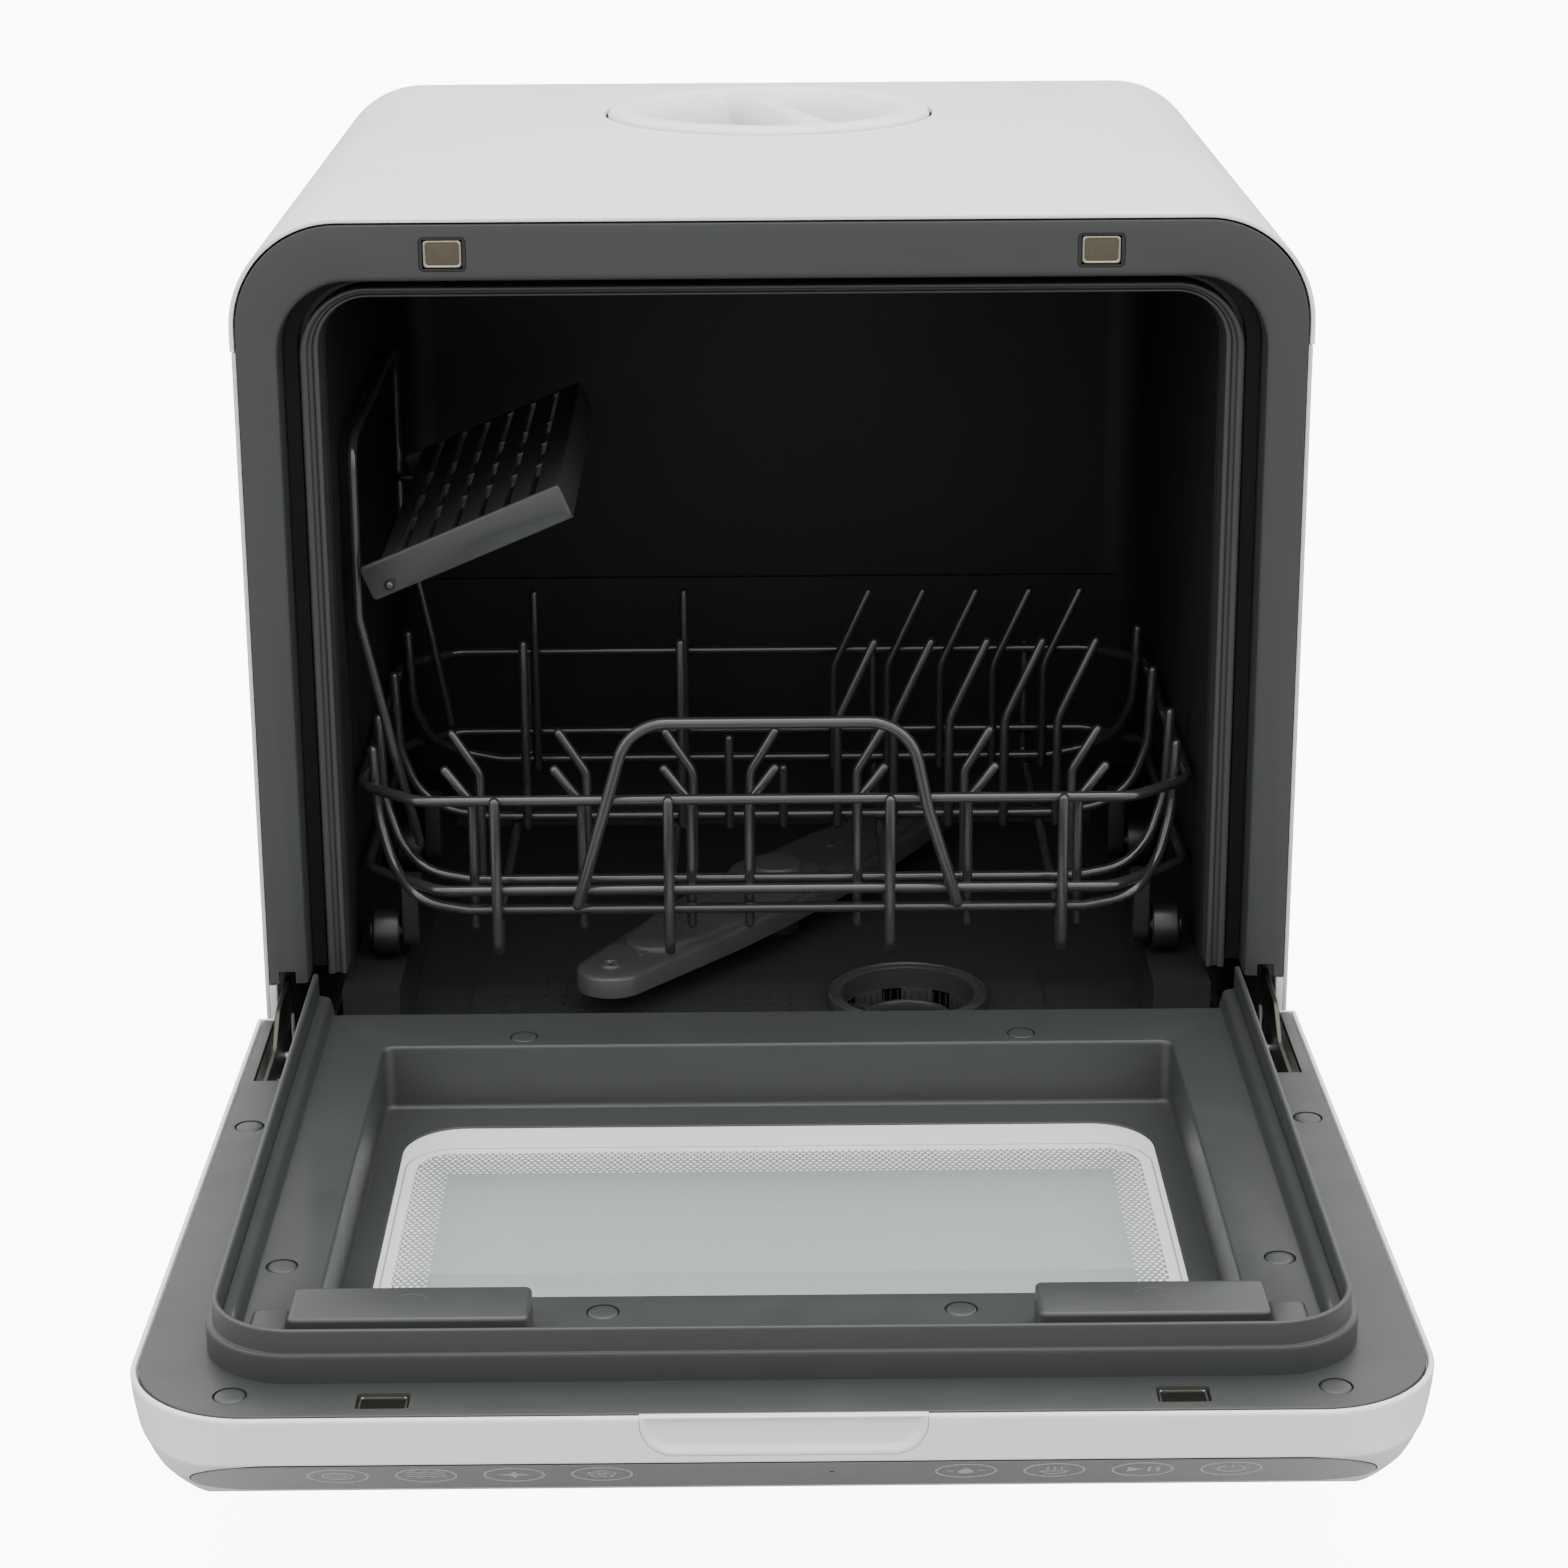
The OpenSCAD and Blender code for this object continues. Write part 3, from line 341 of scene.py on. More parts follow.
def soften(params, dist, closed=True, n=3):
    """Rounds a profile given as parameter tuples: each corner is replaced by a short curve that starts dist before it."""
    out = []
    k = len(params)
    for i, p in enumerate(params):
        d = dist[i] if isinstance(dist, (list, tuple)) else dist
        if d <= 0 or (not closed and i in (0, k - 1)):
            out.append(tuple(p))
            continue
        a, b = params[i - 1], params[(i + 1) % k]
        la = max(1e-6, max(abs(u - v) for u, v in zip(a, p)))
        lb = max(1e-6, max(abs(u - v) for u, v in zip(b, p)))
        ta, tb = min(0.48, d / la), min(0.48, d / lb)
        s = [u + (v - u) * ta for u, v in zip(p, a)]
        e = [u + (v - u) * tb for u, v in zip(p, b)]
        for j in range(n + 1):
            t = j / n
            out.append(tuple((1 - t) ** 2 * u + 2 * t * (1 - t) * v + t * t * w for u, v, w in zip(s, p, e)))
    return out


def fillet_path(pts, r, closed=False, n=7):
    pts = [Vector(p) for p in pts]
    out = []
    k = len(pts)
    for i, p in enumerate(pts):
        if not closed and i in (0, k - 1):
            out.append(p.copy())
            continue
        a, b = pts[i - 1], pts[(i + 1) % k]
        u, v = (a - p), (b - p)
        la, lb = u.length, v.length
        u.normalize()
        v.normalize()
        ang = u.angle(v)
        if ang > pi - 0.02:
            out.append(p.copy())
            continue
        d = min(r / math.tan(ang / 2), 0.47 * la, 0.47 * lb)
        s, e = p + u * d, p + v * d
        # a circular arc through s and e
        rad = d * math.tan(ang / 2)
        c = p + (u + v).normalized() * (rad / sin(ang / 2))
        m = max(2, int(n * (pi - ang) / (pi / 2)) + 1)
        cs, ce = s - c, e - c
        tot = cs.angle(ce)
        ax = cs.cross(ce).normalized()
        for j in range(m + 1):
            out.append(c + Matrix.Rotation(tot * j / m, 3, ax) @ cs)
    return out


def tube(M, pts, d, r=8.0, closed=False, sides=14, mat=0, n=7, ends=True):
    """A round wire of diameter d along pts, bent to radius r, with rounded ends."""
    path = fillet_path(pts, r, closed, n)
    clean = [path[0]]
    for p in path[1:]:
        if (p - clean[-1]).length > 0.05:
            clean.append(p)
    if closed and (clean[0] - clean[-1]).length < 0.05:
        clean.pop()
    path = clean
    k = len(path)
    rad = d / 2
    tang = []
    for i in range(k):
        a = path[i - 1] if (closed or i > 0) else path[i]
        b = path[(i + 1) % k] if (closed or i < k - 1) else path[i]
        tang.append((b - a).normalized())
    nrm = tang[0].orthogonal().normalized()
    frames = [nrm]
    for i in range(1, k):
        q = tang[i - 1].rotation_difference(tang[i])
        nrm = (q @ frames[-1])
        nrm = (nrm - tang[i] * nrm.dot(tang[i])).normalized()
        frames.append(nrm)
    twist = 0.0
    if closed:
        q = tang[-1].rotation_difference(tang[0])
        last = q @ frames[-1]
        twist = atan2(last.cross(frames[0]).dot(tang[0]), last.dot(frames[0]))
    loops = []

    def ring(c, t, nn, rr, extra=0.0):
        bn = t.cross(nn)
        return [c + (nn * cos(2 * pi * j / sides + extra) + bn * sin(2 * pi * j / sides + extra)) * rr for j in range(sides)]

    if not closed and ends:
        for f in (0.35, 0.72, 0.93):
            loops.append(ring(path[0] + tang[0] * (rad * (1 - sqrt(1 - f * f))) , tang[0], frames[0], rad * f))
        loops.append(ring(path[0] + tang[0] * rad, tang[0], frames[0], rad))
    for i in range(k):
        if not closed and ends and i in (0, k - 1):
            continue
        loops.append(ring(path[i], tang[i], frames[i], rad, twist * i / k if closed else 0.0))
    if not closed and ends:
        loops.append(ring(path[-1] - tang[-1] * rad, tang[-1], frames[-1], rad))
        for f in (0.93, 0.72, 0.35):
            loops.append(ring(path[-1] - tang[-1] * (rad * (1 - sqrt(1 - f * f))), tang[-1], frames[-1], rad * f))
    M.loft(loops, close_v=closed, cap0=not closed, cap1=not closed, mat=mat)


def lathe(M, prof, cx, cy, n=64, axis="z", closed=False, mat=0, a0=0.0):
    """prof is a list of (radius, height along the axis); cx, cy are the other two coordinates."""
    loops = []
    for r, h in prof:
        l = []
        for j in range(n):
            a = 2 * pi * j / n + a0
            u, v = r * cos(a), r * sin(a)
            if axis == "z":
                l.append((cx + u, cy + v, h))
            elif axis == "x":
                l.append((h, cx + u, cy + v))
            else:
                l.append((cx + u, h, cy + v))
        loops.append(l)
    M.loft(loops, close_v=closed, cap0=not closed, cap1=not closed, mat=mat)


def prism(M, outline, z0, z1, b=0.6, n=2, mat=0, tf=None, inset=None):
    """An outline standing from z0 to z1 with rounded upper and lower edges."""
    k = len(outline)
    pts = [Vector((x, y)) for x, y in outline]

    def inset_loop(d):
        out = []
        for i in range(k):
            a, p, c = pts[i - 1], pts[i], pts[(i + 1) % k]
            e1, e2 = (p - a), (c - p)
            if e1.length < 1e-9:
                e1 = e2
            if e2.length < 1e-9:
                e2 = e1
            n1 = Vector((-e1.y, e1.x)).normalized()
            n2 = Vector((-e2.y, e2.x)).normalized()
            m = (n1 + n2)
            if m.length < 1e-6:
                m = n1
            m.normalize()
            s = d / max(0.35, m.dot(n1))
            out.append(p + m * s)
        return out

    area = sum(pts[i - 1].x * pts[i].y - pts[i].x * pts[i - 1].y for i in range(k))
    sg = 1 if area > 0 else -1
    loops = []
    for j in range(n + 1):
        t = j / n * pi / 2
        loops.append([(p.x, p.y, z0 + b * (1 - sin(t))) for p in inset_loop(sg * b * (1 - cos(t)))][:])
    loops = [[(p.x, p.y, z0 + b * (1 - cos(pi / 2 * j / n))) for p in inset_loop(sg * b * (1 - sin(pi / 2 * j / n)))] for j in range(n + 1)]
    loops += [[(p.x, p.y, z1 - b * (1 - cos(pi / 2 * (n - j) / n))) for p in inset_loop(sg * b * (1 - sin(pi / 2 * (n - j) / n)))] for j in range(n + 1)]
    if tf:
        loops = [[tf(p) for p in l] for l in loops]
    M.loft(loops, cap0=True, cap1=True, mat=mat)


def rbox(M, x0, x1, y0, y1, z0, z1, b=0.8, r=None, n=2, mat=0, tf=None, k=3):
    r = b if r is None else r
    prism(M, rrect(x0, x1, y0, y1, max(r, 0.02), n=k), z0, z1, b, n, mat, tf)


def box_cutter(x0, x1, y0, y1, z0, z1):
    c = Mesh()
    c.add([(x0, y0, z0), (x1, y0, z0), (x1, y1, z0), (x0, y1, z0), (x0, y0, z1), (x1, y0, z1), (x1, y1, z1), (x0, y1, z1)],
          [(0, 3, 2, 1), (4, 5, 6, 7), (0, 1, 5, 4), (1, 2, 6, 5), (2, 3, 7, 6), (3, 0, 4, 7)])
    return c


def cut(o, parts, angle=38):
    """Cuts the parts (Mesh) out of the object and keeps the result as plain mesh."""
    tmp = []
    for i, c in enumerate(parts):
        t = c.build("cutter", [], None)
        tmp.append(t)
        m = o.modifiers.new("cut%d" % i, "BOOLEAN")
        m.operation = "DIFFERENCE"
        m.solver = "EXACT"
        m.object = t
    bpy.context.view_layer.update()
    dg = bpy.context.evaluated_depsgraph_get()
    me = bpy.data.meshes.new_from_object(o.evaluated_get(dg))
    o.modifiers.clear()
    old = o.data
    o.data = me
    bpy.data.meshes.remove(old)
    for t in tmp:
        d = t.data
        bpy.data.objects.remove(t)
        bpy.data.meshes.remove(d)
    shade(o, angle)


def bevel(o, w, angle=35, seg=2):
    m = o.modifiers.new("edges", "BEVEL")
    m.width = w * 0.001
    m.segments = seg
    m.limit_method = "ANGLE"
    m.angle_limit = radians(angle)
    m.harden_normals = False
    m.miter_outer = "MITER_ARC"
    return m


# ---------------------------------------------------------------- CAD nodes that stay


def keep(node, mat, angle=30):
    o = NODES[node]
    o.data.materials.clear()
    o.data.materials.append(mat)
    for p in o.data.polygons:
        p.material_index = 0
        p.use_smooth = True
    if o.data.has_custom_normals:
        bpy.context.view_layer.objects.active = o
        o.select_set(True)
        bpy.ops.mesh.customdata_custom_splitnormals_clear()
        o.select_set(False)
    o.data.set_sharp_from_angle(angle=radians(angle))


for node, mat in {
    "base_pan": BLACK, "plinth": WHITE, "feet": RUBBER, "back_panel": WHITE, "port_recess": BLACK, "frame_gasket": RUBBER,
    "magnet_holders": BLACK, "tub": TUB, "ceiling_nozzle": GREYM, "filter_plate": TUB, "sump": TUB, "spray_post": TUB, "water_tank": TANK,
    "pump_volute": BLACK, "pump_motor": MOTOR, "drain_pump": BLACK, "water_heater": STEEL, "fill_hose": HOSE, "drain_hose": HOSE,
    "inlet_valve": BLACK, "drain_spigot": BLACK, "power_gland": BLACK, "power_board": BOARD, "hinge_brackets": STEEL, "hinge_pins": STEEL,
    "door_springs": STEEL, "outer_window": GLASS, "inner_window": GLASS, "window_gasket": RUBBER, "touch_board": BOARD,
    "door_screws": STEEL, "pump_impeller": IMPEL, "cap_seal": RUBBER,
}.items():
    keep(node, mat)

# ---------------------------------------------------------------- casing

HW = 210.0
TOPZ = 322.4


def sweep_arch(M, prof, zb, mat=0, n=14):
    """Sweeps a closed profile of (w, ztop, r, y) over the arch outline, with flat lower ends."""
    loops = []
    for w, zt, r, y in prof:
        loops.append([(x, y, z) for x, z in archline(w, zb, zt, r, n)])
    k = len(loops)
    m = len(loops[0])
    faces = []
    for j in range(k):
        a, b = j * m, ((j + 1) % k) * m
        for i in range(m - 1):
            faces.append((a + i, a + i + 1, b + i + 1, b + i))
    faces.append(tuple(j * m for j in range(k)))
    faces.append(tuple(j * m + m - 1 for j in reversed(range(k))))
    M.add([p for l in loops for p in l], faces, mat)


# top cover: outer skin that rolls into its front edge
M = Mesh()
prof = soften([(HW, TOPZ, 43, 0), (HW, TOPZ, 43, 389), (HW - 1.8, TOPZ - 1.8, 41.2, 389), (HW - 1.8, TOPZ - 1.8, 41.2, 0)],
              [0.9, 0.25, 0.25, 0.5])
sweep_arch(M, prof, 271, n=20)
# the cover takes the lighter white: painted light
cover = M.build("cover_skin", COVERW_PAINTED_LIGHT, "root", ("top_cover",), "white_casing")
c = Mesh()
lathe(c, [(75.0, TOPZ - 10), (75.0, TOPZ + 10)], 0, 287.5, n=128)
cut(cover, [c])

# side panels: flat skins with a rolled front edge
for side, sx in (("left", -1), ("right", 1)):
    M = Mesh()
    x0, x1 = sorted((sx * (HW - 2.4), sx * (HW - 0.6)))
    rbox(M, x0, x1, 0, 389, -104, 270.7, b=0.7, r=0.85, n=3, k=4)
    x0, x1 = sorted((sx * (HW - 4.2), sx * (HW - 2.0)))
    rbox(M, x0, x1, 4, 387, 263, 279, b=0.4)
    x0, x1 = sorted((sx * 204.6, sx * (HW - 2.2)))
    rbox(M, x0, x1, 0.3, 12, -12, 8.3, b=0.4, r=0.5, n=3)
    # the side skins take the darker white: painted shade
    M.build("side_skin_" + side, SIDEW_PAINTED_SHADE, "root", ("side_panel_" + side,), "white_casing")

# front frame: flat face, deep channel for the door's rim, and an inner lip with two beads
M = Mesh()
prof = [(207.4, 319.9, 40.5, 0.0), (191.6, 297.8, 28.7, 0.0), (191.6, 297.8, 28.7, 24), (184.5, 293.8, 27.5, 24),
        (184.5, 293.8, 27.5, 10.5), (181.9, 292.4, 25.0, 10.5), (181.2, 292.0, 24.2, 12.4), (179.6, 291.3, 22.6, 12.4),
        (179.0, 291.0, 22.0, 10.9), (177, 290, 20, 10.9), (177, 290, 20, 26.5), (194.6, 300.4, 31.3, 26.5), (194.6, 300.4, 31.3, 2.6),
        (207.4, 319.9, 40.5, 2.6)]
dist = [0.7, 2.4, 0.4, 0.4, 1.1, 0.9, 0.5, 0.5, 0.9, 1.1, 0.3, 0.3, 0.3, 0.3]
sweep_arch(M, soften(prof, dist), 9.5, n=18)
ff = M.build("frame_moulding", GREY, "root", ("front_frame",), "grey_panel", angle=50)
cuts = []
for s in (-1, 1):
    cuts.append(box_cutter(s * 200 - 3.4, s * 200 + 3.4, -1, 4, 0, 14.5))
    c = Mesh()
    out = rrect(s * 126.5 - 9.2, s * 126.5 + 9.2, 301.7, 315, 2, n=5)
    c.loft([[(x, y, z) for x, z in out] for y in (-1, 4)], cap0=True, cap1=True)
    cuts.append(c)
cut(ff, cuts, 50)

# magnets: pillowed nickel faces in black pockets
M = Mesh()
for s in (-1, 1):
    o = rrect(s * 126.5 - 7.6, s * 126.5 + 7.6, 302.9, 313.9, 1.6, n=5)
    cx, cz = s * 126.5, 308.4
    ring_ = lambda e, y: [(cx + (x - cx) * (1 - e / 7.6), y, cz + (z - cz) * (1 - e / 5.5)) for x, z in o]
    # bright rounded rim round a face in a darker copy of the nickel, a painted dark reflection
    M.loft([ring_(0, 5.1), ring_(0, 1.0), ring_(0.12, 0.6), ring_(0.4, 0.35), ring_(0.75, 0.3), ring_(1.05, 0.45), ring_(1.15, 0.8)], cap0=True, mat=0)
    M.loft([ring_(1.15, 0.8), ring_(1.6, 0.78), ring_(3.5, 0.66), ring_(5.2, 0.62)], cap1=True, mat=1)
M.build("magnet_faces", [NICKEL, NFACE_DARK_REFLECTION], "root", ("door_magnets",), "nickel_plate", angle=50)

# filler cap: one moulded bowl with a grip that flows into it
M = Mesh()
CY = 287.5
bowl = [(0, 307.4), (22, 307.9), (38, 309.4), (47, 311.8), (53, 315.6), (57, 319.8), (60, 323.2), (61.4, 324.7), (63.2, 325.35), (68.3, 325.5), (71.1, 325.0), (72.6, 323.9), (73.3, 322.4)]


def bowl_z(r):
    for (r0, z0), (r1, z1) in zip(bowl, bowl[1:]):
        if r <= r1:
            t = (r - r0) / (r1 - r0)
            return z0 + (z1 - z0) * t
    return bowl[-1][1]


GA = radians(16.0)
GOFF = 7.0


def grip_z(x, y):
    u = (x - GOFF) * cos(GA) + y * sin(GA)
    v = -(x - GOFF) * sin(GA) + y * cos(GA)
    half = 4.6 + 5.5 * (abs(v) / 62.0) ** 3
    d = abs(u)
    top = 324.6 - 0.4 * (1 - min(1, abs(v) / 60)) - 0.25 * (d / half) ** 2
    if d > half:
        top -= (d - half) * 3.4
    return top


def smax(a, b, k):
    h = max(k - abs(a - b), 0.0) / k
    return max(a, b) + h * h * k * 0.25


NA, NR = 288, 62
loops = []
rs = [73.3 * (i / (NR - 8)) for i in range(1, NR - 9)]
rs = [0.8 * i for i in range(1, 79)] + [62.9, 63.5, 64.0, 64.8, 65.8, 67.0, 68.3, 69.5, 70.5, 71.3, 72.0, 72.6, 73.0, 73.3]
for r in reversed(rs):
    l = []
    for j in range(NA):
        a = 2 * pi * j / NA
        x, y = r * cos(a), r * sin(a)
        z = bowl_z(r)
        if r < 66:
            z = min(smax(z, grip_z(x, y), 1.6), max(z, 325.3))
        l.append((x, CY + y, z))
    loops.append(l)
under = [(73.3, 320.4), (62.8, 320.4), (62.8, 306.2), (60.6, 306.0), (22, 305.6), (0.5, 305.2)]
top = loops
loops = [[(r * cos(2 * pi * j / NA), CY + r * sin(2 * pi * j / NA), z) for j in range(NA)] for r, z in reversed(under)] + top
M.loft(loops, cap0=True, cap1=True)
# the cap takes the lighter white with its darker bowl: painted light and painted shade
M.build("cap_moulding", CAPW_PAINTED_LIGHT_SHADE, "cap", ("fill_cap",), "white_casing", angle=60)

# ---------------------------------------------------------------- door

REACH = 354.9


def table(v, rows):
    """Linear interpolation in rows of (v, value)."""
    for (a, p), (b, q) in zip(rows, rows[1:]):
        if v <= b:
            return p + (q - p) * max(0.0, (v - a) / (b - a))
    return rows[-1][1]


def front_y(z, i=0.0):
    """Front of the door's shell at height z, for an inset of i from its outer face."""
    pts = [(3, -REACH + i), (-16.6 - i * 0.45, -REACH + i), (-40.4 + i, -327.44 + i * 0.4), (-42 + i, -325.3 + i * 0.4)]
    for (za, ya), (zb, yb) in zip(pts, pts[1:]):
        if z >= zb - 1e-9:
            return ya + (yb - ya) * (za - z) / (za - zb)
    return pts[-1][1]


def rear_y(z, i=0.0):
    """Hinge end of the shell at height z."""
    r = 25.5 - i
    if z <= -16.5 + r * sin(radians(-51)):
        q = r * r - (z + 16.5) ** 2
        return -16.5 + sqrt(max(0.0, q))
    z1, y1 = -16.5 + r * sin(radians(-51)), -16.5 + r * cos(radians(-51))
    z2, y2 = -1.5, -13 - i
    if z >= z2:
        return y2
    return y1 + (y2 - y1) * (z - z1) / (z2 - z1)


def side_in(z, i=0.0):
    """How far the rounded lower edge pulls the side in at height z."""
    r = 13.0 - i
    return 0.0 if z >= -29 else r - sqrt(max(0.0, r * r - (z + 29) ** 2))


def half_w(z):
    """Half width of the door's front end at height z: the sides lean in a little towards the bottom."""
    return table(-z, [(0.0, 213.6), (8.0, 213.4), (12.0, 212.9), (16.0, 212.3), (24.0, 211.6), (32.0, 210.0), (42.0, 209.2)])


def corner_rad(z):
    """How far in from the side the front corners start to curve at height z."""
    return table(-z, [(0.0, 42.0), (4.0, 41.2), (8.0, 39.8), (12.0, 37.2), (16.0, 33.8), (20.0, 29.2), (24.0, 24.9), (28.0, 22.2), (32.0, 21.5), (42.0, 21.5)])


def corner_run(z):
    """How far back from the front the same corners end."""
    return table(-z, [(0.0, 42.0), (8.0, 44.0), (16.0, 47.2), (24.0, 51.7), (32.0, 54.0), (42.0, 55.0)])


def taper(x, y):
    """The door narrows slightly towards its hinge end."""
    return x - (2.6 if x > 0 else -2.6) * max(0.0, min(1.0, (y + 314.5) / 314.5))


def shell_ring(z, i, extra=0.0, n=18):
    """Outline of the door's shell at height z; extra pulls it in further for the rounded edges."""
    w = half_w(z) - i - extra - side_in(z, i)
    r = w - half_w(z) + corner_rad(z)
    f = (r - corner_rad(z) + corner_run(z)) / r
    y0 = front_y(z, i) + extra
    return [(taper(x, y), y, z) for x, y in [(x, y0 + (y - y0) * f if y < y0 + r + 1e-6 else y) for x, y in rrect(-w, w, y0, rear_y(z, i) - extra, r, 0.7, n=n)]]


M = Mesh()
loops = []
for t in range(4):
    a = pi / 2 * t / 3
    loops.append(shell_ring(-0.4 - 0.5 * (1 - sin(a)), 1.9, -0.3 * (1 - cos(a))))
for t in range(5):
    a = pi / 2 * t / 4
    loops.append(shell_ring(-0.4 - 1.2 * (1 - cos(a)), 0, 1.2 * (1 - sin(a))))
for z in (-3, -6, -10, -12, -14, -15.4, -16.0, -16.4, -16.8, -17.3, -18.2, -20, -22, -23.5, -25, -26.5, -28, -29, -30, -32, -34, -36.3, -38, -39, -39.8, -40.4, -41.0, -41.6):
    e = 0.0
    if -16.9 < z < -16.3:
        e = 0.12
    loops.append(shell_ring(z, 0, e))
loops.append(shell_ring(-41.85, 0, 0.4))
loops.append(shell_ring(-42, 0, 1.4))


def wring(w, y0, y1, r, z, n=18):
    return [(x, y, z) for x, y in rrect(-w, w, y0, y1, r, n=n)]


WW = 147.0
loops.append(wring(WW + 5.9, -258.9, -67.1, 28.6, -42))
loops.append(wring(WW + 5.3, -258.3, -67.7, 28, -41.5))
loops.append(wring(WW + 5.3, -258.3, -67.7, 28, -38.9))
loops.append(wring(WW + 0.4, -254.1, -70.9, 24.6, -38.9))
loops.append(wring(WW - 0.2, -253.5, -71.5, 24, -38.3))
loops.append(wring(WW - 0.2, -253.5, -71.5, 24, -30.4))
loops.append(wring(WW + 0.4, -254.1, -70.9, 24.6, -29.8))
loops.append(wring(WW + 2, -256, -69, 26, -29.8))
loops.append(wring(WW + 2, -256, -69, 26, -36.4))
loops.append(wring(WW + 8, -260, -66, 30, -36.4))
loops.append(wring(WW + 8, -260, -66, 30, -39.5))
for z in (-39.4, -38.6, -37, -34, -31, -28, -24, -18.2, -17, -10, -3.2):
    loops.append(shell_ring(z, 2.5, 0.0))
loops.append(shell_ring(-3.0, 2.2, 0.0))
M.loft(loops, close_v=True)
for x, y in [(178, -337.5), (-178, -337.5), (200, -122.5), (-200, -122.5), (172, -249), (-172, -249), (60, -286), (-60, -286), (97, -42.5), (-101, -42.5)]:
    zb = -26 if y < -330 else -37 if abs(x) > 190 else -39.6
    lathe(M, [(4.5, zb), (4.5, -12.0), (1.8, -12.0), (1.8, zb + 1)], x, y, n=24, closed=True)
for sx in (-1, 1):
    a, b = sorted((sx * 196, sx * 203.6))
    rbox(M, a, b, -77.6, -42, -37.5, -15, b=0.5)
shell = M.build("door_shell", WHITE, "door", ("door_outer",), "white_casing", angle=33)
cuts = []
for sx in (-1, 1):
    a, b = sorted((sx * 192, sx * 204.3))
    cuts.append(box_cutter(a, b, -38, 20, -35, 5))
    cuts.append(box_cutter(a, b, -78.6, -38, -15.2, 5))
c = Mesh()
out = rrect(-46.08, 46.08, -14.28, 20, 11.28, n=10)
c.loft([[(x, y, z) for x, z in out] for y in (-REACH - 1, -REACH + 4)], cap0=True, cap1=True)
cuts.append(c)
def on_strip(p):
    """Maps a point drawn on an upright strip (x, depth, height) to the door's slanted lower face."""
    return surf(p[0], 0.3 - p[2], p[1] - 0.3)


cut(shell, cuts, 33)


def surf(x, u, d):
    """A point on the slanted front: x along it, u down it from its upper edge, d inwards; it follows the rounded corners."""
    z = -16.6 - 0.6549 * u
    c = half_w(z) - corner_rad(z)
    if abs(x) <= c:
        return (x, -REACH + 0.7557 * u + 0.6549 * d, z + 0.7557 * d)
    sg = 1 if x > 0 else -1
    th = (abs(x) - c) / corner_rad(z)
    r = corner_rad(z) - side_in(z)
    q = corner_run(z) - side_in(z)
    nn = Vector((sg * sin(th) * q / r, -cos(th), -1.154)).normalized() * -d
    return (sg * (c + r * sin(th)) + nn.x, front_y(z) + q * (1 - cos(th)) + nn.y, z + nn.z)

# control strip: a glossy pill with a rounded edge that follows the door's corners, with printed rings and plain symbols
PX, PR, PU = 191.6, 16.9, 17.4
XA, XB, UT = 166.0, 172.0, PU + 1.5


def pill_span(x):
    """Upper and lower edge of the strip at x: its ends are long rounded ones whose tips sit a little low."""
    a = min(1.0, max(0.0, abs(x) - XA) / (PX - XA))
    b = min(1.0, max(0.0, abs(x) - XB) / (PX - XB))
    return UT - (UT - PU + PR) * sqrt(1 - a * a), UT + (PU + PR - UT) * sqrt(1 - b * b)


def pill_depth(x, u):
    """Distance in from the strip's outline."""
    x0, bu = (XA, UT - PU + PR) if u < UT else (XB, PU + PR - UT)
    au = PX - x0
    dx, du = max(0.0, abs(x) - x0), abs(u - UT)
    f = sqrt((dx / au) ** 2 + (du / bu) ** 2)
    if f < 1e-6:
        return bu
    g = sqrt((dx / au ** 2) ** 2 + (du / bu ** 2) ** 2) / f
    return max(0.0, (1 - f) / g)


M = Mesh()
xs = [0, 40, 80, 120, 150, 160, 164, 166, 168, 170, 172, 174.2, 176.4, 178.6, 180.7, 182.7, 184.5, 186.1, 187.5, 188.7, 189.7, 190.4, 190.9, 191.2, 191.4, 191.52, 191.58]
xs = [-x for x in reversed(xs[1:])] + xs
loops = []
for x in xs:
    ua, ub = pill_span(x)
    mid, h = (ua + ub) / 2, (ub - ua) / 2
    us = [0, 0.04, 0.12, 0.28, 0.5, 0.8, 1.3, 2.5, 5, 9, 13]
    us = [min(v, h) for v in us]
    us = [-h + v for v in us] + [0] + [h - v for v in reversed(us)]
    l = []
    for v in us:
        e = pill_depth(x, mid + v)
        f = sqrt(max(0.0, 1 - (1 - min(1.0, e / 0.7)) ** 2))
        l.append(surf(x, mid + v, -0.3 * f))
    l.append(surf(x, ub, 1.2))
    l.append(surf(x, ua, 1.2))
    loops.append(l)
M.loft(loops, cap0=True, cap1=True)
M.build("strip_face", STRIP, "door", ("control_panel",), "gloss_strip", angle=50)
# dark joint line round the strip
M = Mesh()
loops = []
for e, d in ((-0.5, 0.25), (-0.5, -0.05), (-0.42, -0.07), (0.25, -0.07), (0.25, 0.25)):
    line = []
    for sg, hi in ((1, True), (1, False), (-1, False), (-1, True)):
        x0, bu = (XA, UT - PU + PR - e) if hi else (XB, PU + PR - UT - e)
        for j in range(25):
            a = pi / 2 * j / 24
            a = a if (sg > 0) == hi else pi / 2 - a
            line.append((sg * (x0 + (PX - x0 - e) * sin(a)), -UT + (1 if hi else -1) * bu * cos(a)))
    line = [q for j, q in enumerate(line) if abs(q[0] - line[j - 1][0]) + abs(q[1] - line[j - 1][1]) > 1e-6]
    pts = []
    for (xa, za), (xb, zb) in zip(line, line[1:] + line[:1]):
        k = max(1, int(abs(xb - xa) / 12))
        for j in range(k):
            pts.append((xa + (xb - xa) * j / k, za + (zb - za) * j / k))
    loops.append([surf(x, -z, d) for x, z in pts])
M.loft(loops, close_v=True)
M.build("strip_joint", DARK, "door", (), "black_plastic", angle=60)


